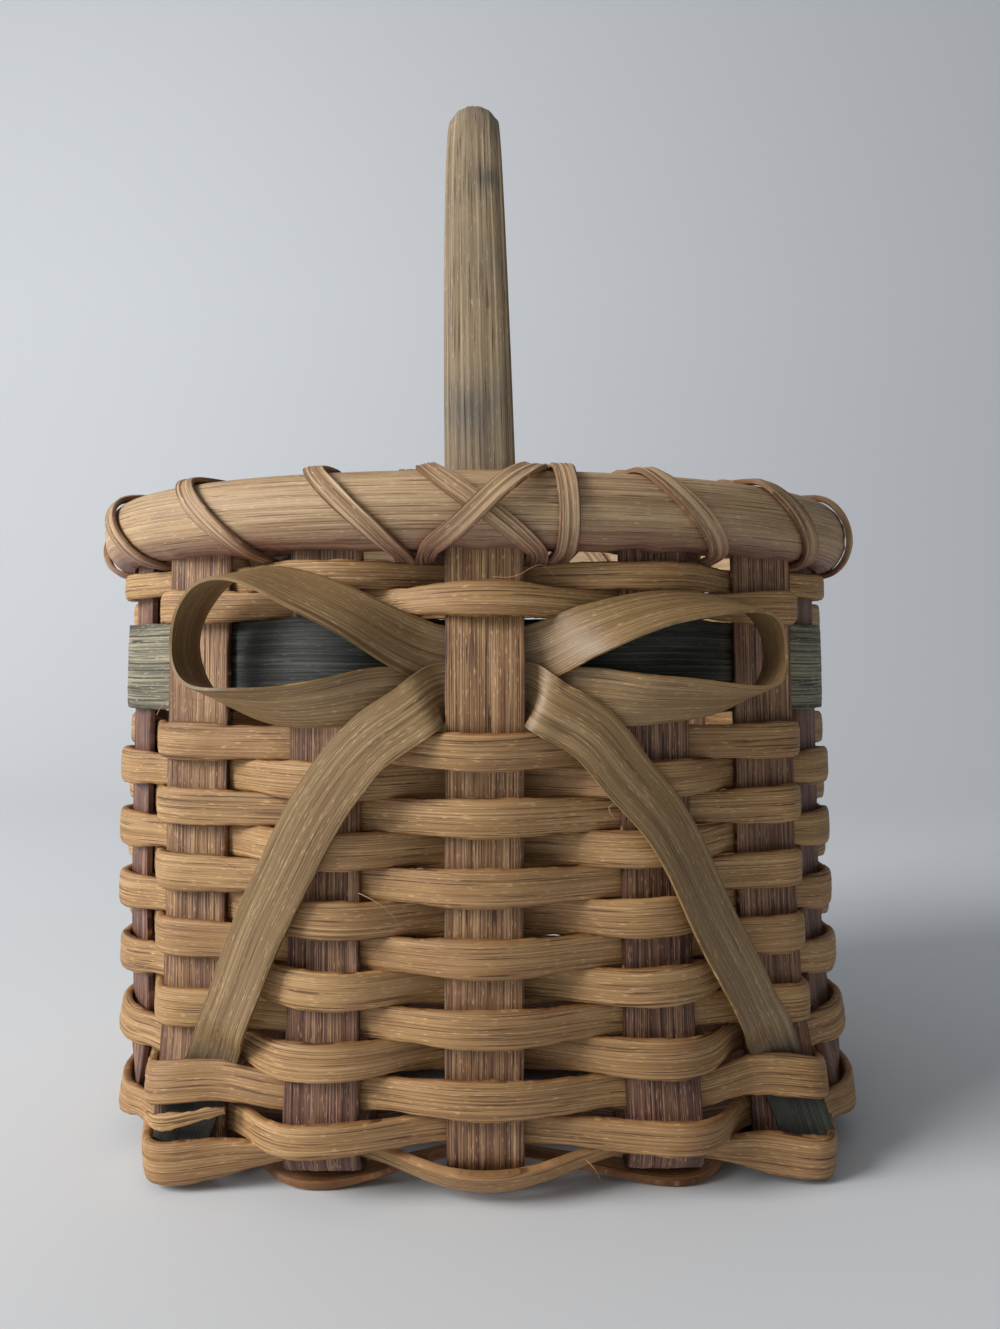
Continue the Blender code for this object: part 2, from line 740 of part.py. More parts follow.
def lashing_runs():
    """Top and bottom arc of each run down the outside, all the way round."""
    clear = STAKE_WIDTH / 2 + CLEARANCE + LASHING_WIDTH / 2
    beside = LASHING_WIDTH + LASHING_GAP
    leg_clear = HOOP_WIDTH / 2 + 3 * CLEARANCE + LASHING_WIDTH / 2
    runs = []
    count = len(STAKES)
    legs = {0: HOOP_ARCS[0], count // 2: HOOP_ARCS[1], count: HOOP_ARCS[0] + RIM_ROUND}
    for gap in range(count):
        here = STAKE_ARCS[gap]
        there = STAKE_ARCS[gap + 1] if gap + 1 < count else STAKE_ARCS[0] + RIM_ROUND
        if gap in legs:
            leg = legs[gap]
            left, right = min(leg - leg_clear, here - clear), max(leg + leg_clear, here + clear)
            runs.append((leg - leg_clear, right, False, False))
            runs.append((leg + leg_clear, left, True, True))
            runs.append((leg + leg_clear + beside, right + beside, False, False))
            continue
        room = there - here - 2 * clear
        middle = (here + there) / 2 + LASHING_SHIFT_SHARES.get(gap, 0.0) * room
        if gap + 1 in legs:
            middle = min(legs[gap + 1] - leg_clear, there - clear) - beside
        runs.append((middle - LASHING_LEAD, middle, False, False))
    return runs


def lashing_point(arc, step, raise_by):
    outline = bundle_outline(arc)
    whole = int(step)
    away = outline_push(outline, whole)
    spot = outline[whole]
    if step > whole:
        spot = spot.lerp(outline[whole + 1], step - whole)
        away = away.lerp(outline_push(outline, whole + 1), step - whole)
        away /= abs(away.x)
    push = away * (LASHING_SEAT + LASHING_THICKNESS / 2 + raise_by)
    point, _, normal = rim_at(arc)
    spot = spot + push
    centre = point + normal * spot.x
    outward = (normal * push.x + Vector((0, 0, push.y))).normalized()
    return Vector((centre.x, centre.y, RIM_BOTTOM + RIM_HEIGHT / 2 + spot.y)), outward


def rim_lashing():
    runs = lashing_runs()
    route = []
    for number, (top, bottom, raised_out, raised_in) in enumerate(runs):
        after = runs[number + 1][0] if number + 1 < len(runs) else None
        if after is None:
            after = RIM_ROUND + runs[0][0] - LASHING_END_TRIM
        route += wrap(top, bottom, after, raised_out, raised_in)
    placed = [lashing_point(*stop) for stop in route]
    stations = []
    for index, (centre, outward) in enumerate(placed):
        before = placed[max(index - 1, 0)][0]
        after = placed[min(index + 1, len(placed) - 1)][0]
        across = (after - before).normalized().cross(outward).normalized()
        stations.append((centre, across * (LASHING_WIDTH / 2)))
    print("lashing", len(runs), "wraps, least gap to itself", f"{least_gap(stations) * 1000:.2f} mm")
    return strip("rim_lashing", stations, LASHING_THICKNESS, lashing_material)


def least_gap(stations):
    """Least distance between points on the surface of a strip that lie a turn or more apart."""
    points = []
    for index, ((centre, half), (following, next_half)) in enumerate(zip(stations, stations[1:])):
        facing = (following - centre).cross(half).normalized() * (LASHING_THICKNESS / 2)
        for share in (0.0, 0.5):
            for side in (-1, -0.5, 0, 0.5, 1):
                point = (centre + half * side).lerp(following + next_half * side, share)
                points += [(index, point + facing), (index, point - facing)]
    tree = KDTree(len(points))
    for number, (_, point) in enumerate(points):
        tree.insert(point, number)
    tree.balance()
    apart = OUTSIDE_STEPS + FACE_STEPS - 1
    return min(
        distance
        for index, point in points
        for _, number, distance in tree.find_range(point, LASHING_WIDTH)
        if points[number][0] - index > apart
    )


# Bow


def front_wall(x, height, stand_off):
    """Point in front of the wall at a distance from the stakes, with the wall's directions."""
    half_x, power = half_width(height), squareness(height)
    y = -curve_other(x, half_x, BODY_HALF_DEPTH, power)
    normal = plan_normal(x, y, half_x, BODY_HALF_DEPTH, power)
    along = Vector((0, 0, 1)).cross(normal)
    return Vector((x, y + stand_off / normal.y, height)), along, normal


def bow_centre():
    return FRONT_STAKE_SHARES[HOOP_STAKE] * BODY_HALF_WIDTH_RIM


# Loops: share of the reach, share of the height, stand-off as a share of LOOP_STAND_OFF,
# direction of the ribbon's width in the front view, and how far its near edge leans out, in degrees.
LEFT_LOOP_SHARES = (
    (0.00, 0.41, 0.13, -90, 2),
    (-0.14, 0.41, 0.13, -90, 2),
    (-0.20, 0.45, 0.34, -91, 3),
    (-0.27, 0.53, 0.70, -94, 12),
    (-0.38, 0.66, 1.00, -100, 34),
    (-0.58, 0.85, 1.00, -116, 47),
    (-0.74, 0.89, 1.00, -138, 60),
    (-0.86, 0.78, 1.00, -168, 62),
    (-0.935, 0.56, 1.00, -198, 60),
    (-0.965, 0.33, 1.00, -186, 60),
    (-0.955, 0.09, 1.00, -180, 62),
    (-0.90, -0.14, 1.00, -220, 70),
    (-0.82, -0.30, 1.00, -262, 64),
    (-0.68, -0.40, 1.00, -288, 48),
    (-0.50, -0.41, 0.95, -282, 30),
    (-0.37, -0.40, 0.75, -274, 9),
    (-0.27, -0.39, 0.40, -271, 3),
    (-0.20, -0.38, 0.10, -270, 0),
    (-0.14, -0.37, -0.08, -270, 0),
    (0.00, -0.37, -0.08, -270, 0),
)
RIGHT_LOOP_SHARES = (
    (0.14, -0.37, -0.08, -270, 0),
    (0.20, -0.38, 0.10, -270, 0),
    (0.27, -0.39, 0.40, -271, 3),
    (0.37, -0.40, 0.75, -273, 9),
    (0.50, -0.40, 0.95, -276, 28),
    (0.68, -0.36, 1.00, -280, 44),
    (0.84, -0.26, 1.00, -300, 60),
    (0.94, -0.10, 1.00, -340, 64),
    (0.99, 0.12, 1.00, -358, 62),
    (0.975, 0.36, 1.00, -366, 60),
    (0.91, 0.54, 1.00, -376, 62),
    (0.82, 0.64, 1.00, -400, 64),
    (0.68, 0.70, 1.00, -438, 62),
    (0.52, 0.68, 1.00, -444, 50),
    (0.38, 0.61, 1.00, -446, 34),
    (0.27, 0.53, 0.70, -448, 12),
    (0.20, 0.45, 0.34, -449, 3),
    (0.14, 0.41, 0.13, -450, 2),
    (0.012, 0.41, 0.13, -450, 2),
)


def edge_station(x, height, stand_off, direction, lean):
    """A ribbon station from its wall-side edge, a direction in the front view and a lean."""
    edge = front_wall(x, height, stand_off)[0]
    flat = math.cos(math.radians(lean)) * RIBBON_WIDTH / 2
    half = Vector(
        (
            flat * math.cos(math.radians(direction)),
            -math.sin(math.radians(lean)) * RIBBON_WIDTH / 2,
            flat * math.sin(math.radians(direction)),
        )
    )
    return edge + half, half


def curve_value(a, b, c, d, t):
    """A smooth curve through b and c, a share t of the way, that heeds their neighbours."""
    bend = (2 * a - 5 * b + 4 * c - d) * t**2 + (3 * b - a - 3 * c + d) * t**3
    return b + ((c - a) * t + bend) / 2


def smooth_stations(rows, steps):
    """Reads a table of shares along a smooth curve, with steps between its rows."""
    made = []
    for number in range(len(rows) - 1):
        window = [rows[max(min(number + k, len(rows) - 1), 0)] for k in (-1, 0, 1, 2)]
        for step in range(steps):
            t = step / steps
            made.append(
                [curve_value(a, b, c, d, t) for a, b, c, d in zip(*window)]
            )
    made.append(list(rows[-1]))
    return made


def bow_loops():
    stations = []
    for x, z, off, direction, lean in smooth_stations(LEFT_LOOP_SHARES + RIGHT_LOOP_SHARES, 2):
        stations.append(
            edge_station(
                bow_centre() + x * LOOP_REACH,
                BOW_HEIGHT + z * LOOP_HEIGHT,
                off * LOOP_STAND_OFF,
                direction,
                lean,
            )
        )
    return strip("bow_loops", stations, RIBBON_THICKNESS, ribbon_material)


# Tails: share of the reach, share of the drop, stand-off as a share of TAIL_STAND_OFF,
# direction of the ribbon's run on the wall, and how far its lower edge leans out, in degrees.
LEFT_TAIL_SHARES = (
    (-0.862, -0.760, 0.90, 248, 0),
    (-0.82, -0.68, 1.00, 248, 0),
    (-0.755, -0.56, 1.04, 249, -2),
    (-0.65, -0.42, 1.08, 246, -4),
    (-0.565, -0.31, 1.08, 241, -4),
    (-0.47, -0.215, 1.08, 231, -2),
    (-0.35, -0.13, 1.10, 219, 1),
    (-0.25, -0.085, 1.04, 209, 3),
    (-0.195, -0.058, 0.90, 200, 7),
    (-0.155, -0.037, 0.396, 188, -2.7),
    (0.0, -0.033, 0.396, 180, -2.7),
)
RIGHT_TAIL_SHARES = (
    (0.155, -0.037, 0.396, 172, -2.7),
    (0.195, -0.060, 0.90, 158, 7),
    (0.26, -0.085, 1.04, 148, 3),
    (0.348, -0.122, 1.10, 138, 3),
    (0.454, -0.205, 1.10, 126, 6),
    (0.554, -0.280, 1.08, 118, 10),
    (0.664, -0.396, 1.08, 114, 12),
    (0.764, -0.538, 1.04, 113, 10),
    (0.888, -0.700, 1.00, 112, 4),
    (0.925, -0.760, 0.92, 110, 0),
)

# Tucked ends: place up the stake as a share of TUCK_TOP, and shift towards the middle of the
# front as a share of the stake's width, from the loose part down.
TUCK_TOP = ROW_PLACES[TUCK_ROW] + WEAVER_WIDTH / 2
LEFT_TUCK_SHARES = (
    (1.13, 0.41), (1.02, 0.34), (0.92, 0.27), (0.78, 0.17), (0.66, 0.09), (0.56, 0.02)
)
RIGHT_TUCK_SHARES = (
    (1.13, 0.08), (1.02, 0.02), (0.92, -0.045), (0.78, -0.12), (0.66, -0.18), (0.56, -0.23)
)
TUCK_SLANT = math.radians(20)
TUCK_RISE_SHARE = 0.62


def tuck_stations(stake, shares, side):
    """Stations of a tail's end on the face of its stake, held there by a row."""
    seat = STAKE_THICKNESS / 2 + CLEARANCE + RIBBON_THICKNESS / 2
    seat += (TWIST_ROOM + TUCK_ROOM) / 2
    stations = []
    for up_share, across_share in shares:
        edges = []
        for end in (-1, 1):
            reach = end * RIBBON_WIDTH / 2
            place = TUCK_TOP * up_share - reach * math.sin(TUCK_SLANT)
            shift = across_share * STAKE_WIDTH + reach * math.cos(TUCK_SLANT)
            centre, across, outward, _ = stake_frame(stake, place)
            lift = max(place - TUCK_TOP - CLEARANCE, 0.0) * TUCK_RISE_SHARE
            edges.append(centre + across * (side * shift) + outward * (seat + lift))
        stations.append(((edges[0] + edges[1]) / 2, (edges[1] - edges[0]) / 2))
    return stations


def bow_tails():
    loose = []
    for x, z, off, direction, lean in smooth_stations(LEFT_TAIL_SHARES + RIGHT_TAIL_SHARES, 2):
        centre, along, normal = front_wall(
            bow_centre() + x * TAIL_REACH, BOW_HEIGHT + z * TAIL_DROP, off * TAIL_STAND_OFF
        )
        turn, lean = math.radians(direction + 90), math.radians(lean)
        flat = along * math.cos(turn) + Vector((0, 0, math.sin(turn)))
        half = (flat * math.cos(lean) + normal * math.sin(lean)) * (RIBBON_WIDTH / 2)
        loose.append((centre, half))
    left = tuck_stations(STAKES[0], LEFT_TUCK_SHARES, 1)
    right = tuck_stations(STAKES[len(FRONT_STAKE_SHARES) - 1], RIGHT_TUCK_SHARES, -1)
    return strip("bow_tails", left[::-1] + loose + right, RIBBON_THICKNESS, ribbon_material)


# Set on the floor


def mesh_of(piece):
    """The piece's finished mesh, with its modifiers applied."""
    graph = bpy.context.evaluated_depsgraph_get()
    return bpy.data.meshes.new_from_object(piece.evaluated_get(graph))


def set_on_floor(pieces):
    """Centres the basket on the origin and cuts flats on the lowest points, at the floor."""
    for piece in pieces:
        mesh = mesh_of(piece)
        piece.modifiers.clear()
        piece.data = mesh
    points = [vertex.co for piece in pieces for vertex in piece.data.vertices]
    low = Vector([min(p[axis] for p in points) for axis in range(3)])
    high = Vector([max(p[axis] for p in points) for axis in range(3)])
    shift = Vector((-(low.x + high.x) / 2, -(low.y + high.y) / 2, -low.z - FOOT_FLAT_DEPTH))
    for piece in pieces:
        bm = bmesh.new()
        bm.from_mesh(piece.data)
        bmesh.ops.translate(bm, verts=bm.verts, vec=shift)
        if min(vertex.co.z for vertex in bm.verts) < 0:
            parts = bm.verts[:] + bm.edges[:] + bm.faces[:]
            cut = bmesh.ops.bisect_plane(
                bm, geom=parts, plane_co=(0, 0, 0), plane_no=(0, 0, -1), clear_outer=True
            )
            rim = [edge for edge in cut["geom_cut"] if isinstance(edge, bmesh.types.BMEdge)]
            bmesh.ops.holes_fill(bm, edges=rim, sides=0)
            bmesh.ops.recalc_face_normals(bm, faces=bm.faces)
            print("foot flats on", piece.name)
        bm.to_mesh(piece.data)
        bm.free()
    size = high - low
    print("shift", [round(value * 1000, 2) for value in shift])
    print("size", [round(value * 1000, 2) for value in size])


for old in list(bpy.data.objects):
    bpy.data.objects.remove(old, do_unlink=True)

basket = bpy.data.collections.new("splint_basket")
bpy.context.scene.collection.children.link(basket)

stake_material = new_material("stake reed", STAKE_COLOUR, 0.75)
weaver_material = new_material("weaver reed", WEAVER_COLOUR, 0.65)
band_material = new_material("green dyed reed", BAND_COLOUR, 0.75)
rim_material = new_material("rim reed", RIM_COLOUR, 0.6)
lashing_material = new_material("lashing reed", LASHING_COLOUR, 0.65)
handle_material = new_material("handle wood", HANDLE_COLOUR, 0.8)
ribbon_material = new_material("bow reed", RIBBON_COLOUR, 0.75)

pieces = []
for index in range(len(FRONT_STAKE_SHARES)):
    pieces.append(stake_strip(f"stake_front_back_{index + 1}", "front", index))
for index in range(len(SIDE_STAKE_SHARES)):
    pieces.append(stake_strip(f"stake_side_side_{index + 1}", "side", index))
pieces.append(handle_hoop())
for row in range(1, ROW_COUNT + 1):
    pieces.append(woven_row(row))
pieces.append(rim_outer())
pieces.append(rim_inner())
pieces.append(rim_lashing())
pieces.append(bow_loops())
pieces.append(bow_tails())
set_on_floor(pieces)
print("rim from", round(RIM_BOTTOM * 1000, 2), "to", round(RIM_TOP * 1000, 2), "before the shift")
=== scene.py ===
# %% [markdown]
# A small splint basket: flat reed strips woven round a fixed hoop handle, with a bow of dyed reed.
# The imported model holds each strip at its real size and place, but as plain ribbons with few faces.
# This script keeps those places and remakes each strip as reed looks: bent in one smooth curve,
# domed and grooved along its fibres, ragged at its edges and coloured by age and dye.

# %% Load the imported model
import math

import bpy
import numpy as np
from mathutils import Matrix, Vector


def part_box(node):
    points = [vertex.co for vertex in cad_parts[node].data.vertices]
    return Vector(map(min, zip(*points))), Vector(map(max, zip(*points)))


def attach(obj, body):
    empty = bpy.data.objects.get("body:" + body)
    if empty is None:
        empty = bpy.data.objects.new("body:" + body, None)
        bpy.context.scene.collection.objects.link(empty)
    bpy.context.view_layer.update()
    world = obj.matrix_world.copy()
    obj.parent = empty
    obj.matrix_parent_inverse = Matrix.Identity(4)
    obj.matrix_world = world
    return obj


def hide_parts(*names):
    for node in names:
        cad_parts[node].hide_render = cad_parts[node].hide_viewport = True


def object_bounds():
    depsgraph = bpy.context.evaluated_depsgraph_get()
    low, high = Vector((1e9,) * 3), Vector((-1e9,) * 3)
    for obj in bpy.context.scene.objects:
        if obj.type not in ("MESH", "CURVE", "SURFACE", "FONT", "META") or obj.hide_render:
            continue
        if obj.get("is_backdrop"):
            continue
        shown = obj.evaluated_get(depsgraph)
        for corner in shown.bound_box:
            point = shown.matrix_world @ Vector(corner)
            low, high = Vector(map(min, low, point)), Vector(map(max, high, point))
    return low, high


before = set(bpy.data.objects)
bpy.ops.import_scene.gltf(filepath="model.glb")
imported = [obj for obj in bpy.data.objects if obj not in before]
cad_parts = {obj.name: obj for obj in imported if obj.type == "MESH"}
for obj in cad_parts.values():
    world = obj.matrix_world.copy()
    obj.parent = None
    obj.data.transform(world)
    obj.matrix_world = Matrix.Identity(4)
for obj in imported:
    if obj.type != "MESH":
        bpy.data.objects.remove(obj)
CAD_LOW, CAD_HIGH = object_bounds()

MM = 0.001
print("packed model:", len(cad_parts), "nodes,", [round(v / MM, 1) for v in CAD_HIGH - CAD_LOW], "mm")

# %% [markdown]
# The photographer stood close, so the near rim looks much wider than the base behind it.
# A camera placed at the same distance gives that for free, where a longer lens from further
# away would flatten the basket. The lens is level, a little below the rim.

# %% Camera
CAMERA_BELOW_RIM = 31.4 * MM
CAMERA_PLACE = Vector((4.95 * MM, -220.7 * MM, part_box("rim_outer")[1].z - CAMERA_BELOW_RIM))
LENS_MM = 27.09

camera = bpy.data.objects.new("camera", bpy.data.cameras.new("camera"))
bpy.context.scene.collection.objects.link(camera)
camera.location = CAMERA_PLACE
camera.rotation_euler = (math.radians(90), 0, 0)
camera.data.lens = LENS_MM
camera.data.clip_start = 10 * MM
bpy.context.scene.camera = camera
bpy.context.scene.view_settings.view_transform = "Standard"
print("camera", round(-CAMERA_PLACE.y / MM), "mm in front of the basket's middle")

# %% [markdown]
# Finishes first. Every reed here is the same material, the core of the rattan palm, split or cut
# into strips. Its long fibres lie side by side, about half a millimetre apart, and each takes
# light and dye a little differently. So all finishes are one recipe: streaks that are very long
# and very narrow, drawn from two notes that each strip carries in millimetres: how far along
# and how far across it a point lies.

# %% Helpers for finishes


def linear(code):
    """An sRGB hex code as a linear colour."""
    shares = [int(code[k:k + 2], 16) / 255 for k in (1, 3, 5)]
    return [s / 12.92 if s <= 0.04045 else ((s + 0.055) / 1.055) ** 2.4 for s in shares] + [1.0]


def node(tree, kind, sockets=(), **settings):
    """Adds a node, sets its properties, and fills its sockets with values or links."""
    made = tree.nodes.new(kind)
    for name, value in settings.items():
        setattr(made, name, value)
    for name, value in dict(sockets).items():
        if isinstance(value, bpy.types.NodeSocket):
            tree.links.new(value, made.inputs[name])
        else:
            made.inputs[name].default_value = value
    return made


def blank_material(name):
    """A new material, with its node tree and its Principled shader."""
    material = bpy.data.materials.new(name)
    material.use_nodes = True
    return material, material.node_tree, material.node_tree.nodes["Principled BSDF"]


print("a mid reed brown is", [round(v, 3) for v in linear("#937352")[:3]], "linear")

# %% [markdown]
# The reed recipe. Noises share the strip's own millimetres: single fibres, bundles of a few
# fibres, hairline cracks, pale flecks and cloudy stains. The pale flecks are painted highlights,
# small glints. The fibres and cracks also drive the bump, so that light and grain agree. `worn` is
# a second set of colours, which the strip's wear and shade note and the stains mix in: pink
# heartwood on the natural reeds, the faded dye on the green ones, and painted shade on the side
# stakes, the rim's lower edge and the lashing under the rim.
# Reed is cellulose with little polish, so the index is 1.5 and the roughness high.

# %% Reed recipe
FIBRE_LENGTH, BUNDLE_LENGTH, BUNDLE_WIDTH, STAIN_SIZE = 45.0, 30.0, 1.1, 11.0
CRACK_LENGTH, CRACK_WIDTH, GLINT_FLECK_LENGTH, GLINT_FLECK_WIDTH = 11.0, 0.26, 1.6, 0.22


def noise_along(tree, place, long, wide, detail):
    """Noise stretched along the strip: long and wide are its grain's size in millimetres."""
    scaled = node(tree, "ShaderNodeVectorMath", {0: place, 1: (1 / long, 1 / wide, 1.7)}, operation="MULTIPLY")
    noise = node(tree, "ShaderNodeTexNoise", {"Vector": scaled.outputs[0], "Scale": 1.0, "Detail": detail,
                                              "Roughness": 0.6})
    return noise.outputs["Fac"]


def ramp(tree, factor, stops):
    """A colour ramp with (position, hex colour) stops."""
    made = node(tree, "ShaderNodeValToRGB", {"Fac": factor})
    elements = made.color_ramp.elements
    while len(elements) < len(stops):
        elements.new(0.5)
    for element, (at, code) in zip(elements, stops):
        element.position = at
        element.color = linear(code)
    return made.outputs["Color"]


def share_between(tree, value, low, high, least=0.0, most=1.0):
    """least where the value is at or under low, most where it is at or over high."""
    return node(tree, "ShaderNodeMapRange", {"Value": value, "From Min": low, "From Max": high,
                                             "To Min": least, "To Max": most}).outputs["Result"]


def reed_finish(name, clean, worn, fibre_mm, edge, roughness=0.62, stain=0.35, contrast=0.15, cracks=0.75,
                bump_mm=0.05):
    """clean and worn are (dark, middle, pale) hex colours of the fibres; edge tints the cut edges."""
    material, tree, shader = blank_material(name)
    place = node(tree, "ShaderNodeAttribute", attribute_name="strip_mm").outputs["Vector"]
    wear = node(tree, "ShaderNodeAttribute", attribute_name="strip_wear_and_shade").outputs["Vector"]
    marks = node(tree, "ShaderNodeSeparateXYZ", {0: wear}).outputs
    fibre = noise_along(tree, place, FIBRE_LENGTH, fibre_mm, 1.5)
    bundle = noise_along(tree, place, BUNDLE_LENGTH, BUNDLE_WIDTH, 2.0)
    cloud = noise_along(tree, place, STAIN_SIZE, STAIN_SIZE * 0.5, 3.0)
    crack_noise = noise_along(tree, place, CRACK_LENGTH, CRACK_WIDTH, 0.0)
    crack = share_between(tree, crack_noise, 0.24, 0.34, cracks, 0.0)
    # Pale flecks lift the grain's colour: painted highlights, small glints on the reed.
    glint_fleck = share_between(tree, noise_along(tree, place, GLINT_FLECK_LENGTH, GLINT_FLECK_WIDTH, 0.0), 0.68, 0.80, 0.0, 0.22)
    blend = node(tree, "ShaderNodeMix", {"Factor": 0.30, "A": fibre, "B": bundle}).outputs["Result"]
    glint_flecked = node(tree, "ShaderNodeMath", {0: blend, 1: glint_fleck}, operation="ADD").outputs[0]
    cracked = node(tree, "ShaderNodeMath", {0: crack, 1: 0.5}, operation="MULTIPLY").outputs[0]
    grain = node(tree, "ShaderNodeMath", {0: glint_flecked, 1: cracked}, operation="SUBTRACT").outputs[0]
    low, high = 0.5 - contrast, 0.5 + contrast
    colours = []
    for dark, middle, pale in (clean, worn):
        colours.append(ramp(tree, grain, ((low, dark), (0.5, middle), (high, pale))))
    spread = share_between(tree, cloud, 0.42, 0.72, 0.0, stain)
    mixed = node(tree, "ShaderNodeMath", {0: spread, 1: marks["Y"]}, operation="ADD", use_clamp=True).outputs[0]
    body = node(tree, "ShaderNodeMix", {"Factor": mixed, "A": colours[0], "B": colours[1]}, data_type="RGBA")
    rim = share_between(tree, marks["X"], 0.80, 1.0, 0.0, 0.55)
    edged = node(tree, "ShaderNodeMix", {"Factor": rim, "A": body.outputs["Result"], "B": linear(edge)},
                 data_type="RGBA", blend_type="MULTIPLY")
    tree.links.new(edged.outputs["Result"], shader.inputs["Base Color"])
    rough = share_between(tree, grain, 0.0, 1.0, roughness - 0.1, roughness + 0.12)
    tree.links.new(rough, shader.inputs["Roughness"])
    bump = node(tree, "ShaderNodeBump", {"Height": grain, "Distance": bump_mm * MM, "Strength": 1.0})
    tree.links.new(bump.outputs["Normal"], shader.inputs["Normal"])
    shader.inputs["IOR"].default_value = 1.5
    return material


print("reed recipe ready, fibres", FIBRE_LENGTH, "mm long")

# %% [markdown]
# The weavers are natural rattan core, gone golden tan with age. Their flat side was sawn, so
# the fibres show as fine matt lines, darker and redder where the strip was bent or handled.

# %% Weaver reed
weaver_reed = reed_finish(
    "aged rattan core, weavers",
    clean=("#6b4b2b", "#b08857", "#dbb684"),
    worn=("#54361f", "#8f6540", "#ba8f62"),
    fibre_mm=0.22, edge="#dcc09a", stain=0.42, contrast=0.25, cracks=0.55,
)

# %% [markdown]
# The stakes show their split side: pale hard fibres stand out of soft pink-brown pith, in stripes
# as fine as the fibres themselves.

# %% Stake reed
stake_reed = reed_finish(
    "split rattan core, stakes",
    clean=("#5f3d28", "#9c744d", "#d6b384"),
    worn=("#3d241f", "#6f4b3e", "#b0876a"),
    fibre_mm=0.20, edge="#a4765a", stain=0.5, contrast=0.15, cracks=0.5, bump_mm=0.07,
)

# %% [markdown]
# The rim bands are the palest reed, planed half round. Their lower edge is pinker and darker, which the wear and shade
# note paints on: partly a pink-purple stain, partly painted shade where the band faces down.

# %% Rim and lashing reed
rim_reed = reed_finish(
    "planed half-round rattan core",
    clean=("#7f6041", "#b89870", "#d6bb96"),
    worn=("#4b2c2f", "#855a50", "#ac8270"),
    fibre_mm=0.26, edge="#c29a80", stain=0.25, contrast=0.22, cracks=0.5,
)
# The lashing's darker edge colour is painted contact shadow along both of its edges.
lashing_reed = reed_finish(
    "narrow lashing cane",
    clean=("#7b5c40", "#b08e68", "#d8ba92"),
    worn=("#5a3a30", "#936b55", "#b9947a"),
    fibre_mm=0.42, edge="#a88468", stain=0.3, bump_mm=0.10,
)

# %% [markdown]
# The green reeds were dyed in the skein. Light has bleached the dye where it reached: the bow is
# now olive tan, and the band is green-black only where the bow has kept it in the shade.

# %% Dyed reed
band_reed = reed_finish(
    "green dyed rattan core, band",
    clean=("#0d1110", "#1f2321", "#3f463f"),
    worn=("#3c392e", "#77705b", "#a59c81"),
    fibre_mm=0.34, edge="#8c8878", stain=0.08, contrast=0.12, cracks=0.4, bump_mm=0.10,
)
bow_reed = reed_finish(
    "green dyed rattan core, bow",
    clean=("#161a18", "#272b28", "#464e46"),
    worn=("#5c452b", "#93744c", "#c4a67c"),
    fibre_mm=0.20, edge="#e2d8b4", stain=0.0, roughness=0.48, contrast=0.27, cracks=0.35, bump_mm=0.02,
)

# %% [markdown]
# The handle is a split sapling, bent by steam and left bare. Years of hands and damp have turned it
# grey brown, with black stains in the grain.

# %% Handle wood
handle_wood = reed_finish(
    "weathered split ash",
    clean=("#67533b", "#9d8769", "#bfac8d"),
    worn=("#3a342e", "#6e6459", "#94897a"),
    fibre_mm=0.28, edge="#d8d2c4", stain=0.35, roughness=0.7, contrast=0.27, cracks=0.5,
)
print("finishes:", [m.name for m in bpy.data.materials if m.users == 0][:8])

# %% [markdown]
# Next the shape that all strips follow. The body is a rounded box: across the plan it is a
# superellipse, squarer at the base than at the rim, and along the wall each stake turns up
# from the base in a small radius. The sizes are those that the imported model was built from.

# %% The body's sizes
STAKE_WIDTH, STAKE_THICKNESS = 12.7 * MM, 1.4 * MM
WEAVER_WIDTH, WEAVER_THICKNESS = 6.35 * MM, 2.0 * MM
CROSSING_WIDTH = 5.4 * MM
BAND_WIDTH, BAND_THICKNESS = 15.9 * MM, 1.2 * MM
RIBBON_WIDTH, RIBBON_THICKNESS = 9.5 * MM, 0.8 * MM
HALF_WIDTH_RIM, HALF_DEPTH, BODY_FLARE = 70.2 * MM, 57.0 * MM, 3.0 * MM
HALF_WIDTH_BASE = HALF_WIDTH_RIM + BODY_FLARE
TURN_RADIUS = 8.5 * MM
TURN_LENGTH = TURN_RADIUS * math.pi / 2
TWIST_LENGTH, SIDE_TWIST_LENGTH = 32 * MM, 6 * MM
SIDE_LEAN, SIDE_LEAN_HEIGHT = 2.8 * MM, 55 * MM
FOOT_LEAN, FOOT_LEAN_HEIGHT = 3.4 * MM, 26 * MM
SIDE_DROP, SIDE_DROP_HEIGHT = 4.2 * MM, 85 * MM
SIDE_PINCH, SIDE_PINCH_HEIGHT = 4.0 * MM, 26 * MM
FRONT_SAG, FRONT_SAG_HEIGHT = 1.8 * MM, 14 * MM
OUTER_TWIST_SHARE = 0.6
CORNER_DROP, CORNER_DROP_HEIGHT, CORNER_REACH_SHARE = 2.8 * MM, 38 * MM, 0.56
SQUARENESS_BASE, SQUARENESS_RIM, CORNER_ROUNDING_HEIGHT = 2.6, 2.1, 24 * MM
CLEARANCE = 0.3 * MM
LAYER = STAKE_THICKNESS / 2 + CLEARANCE / 2
BASE_MIDDLE = CORNER_DROP + LAYER + STAKE_THICKNESS / 2
ROW_COUNT, BAND_ROW = 17, 3
FRONT_STAKE_SHARES = (-0.680, -0.338, 0.035, 0.435, 0.735)
SIDE_STAKE_SHARES = (-0.474, 0.0, 0.474)
HOOP_STAKE = 2
RIM_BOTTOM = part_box("rim_outer")[0].z
RIM_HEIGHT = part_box("rim_outer")[1].z - RIM_BOTTOM
print("rim from", round(RIM_BOTTOM / MM, 1), "to", round((RIM_BOTTOM + RIM_HEIGHT) / MM, 1), "mm")

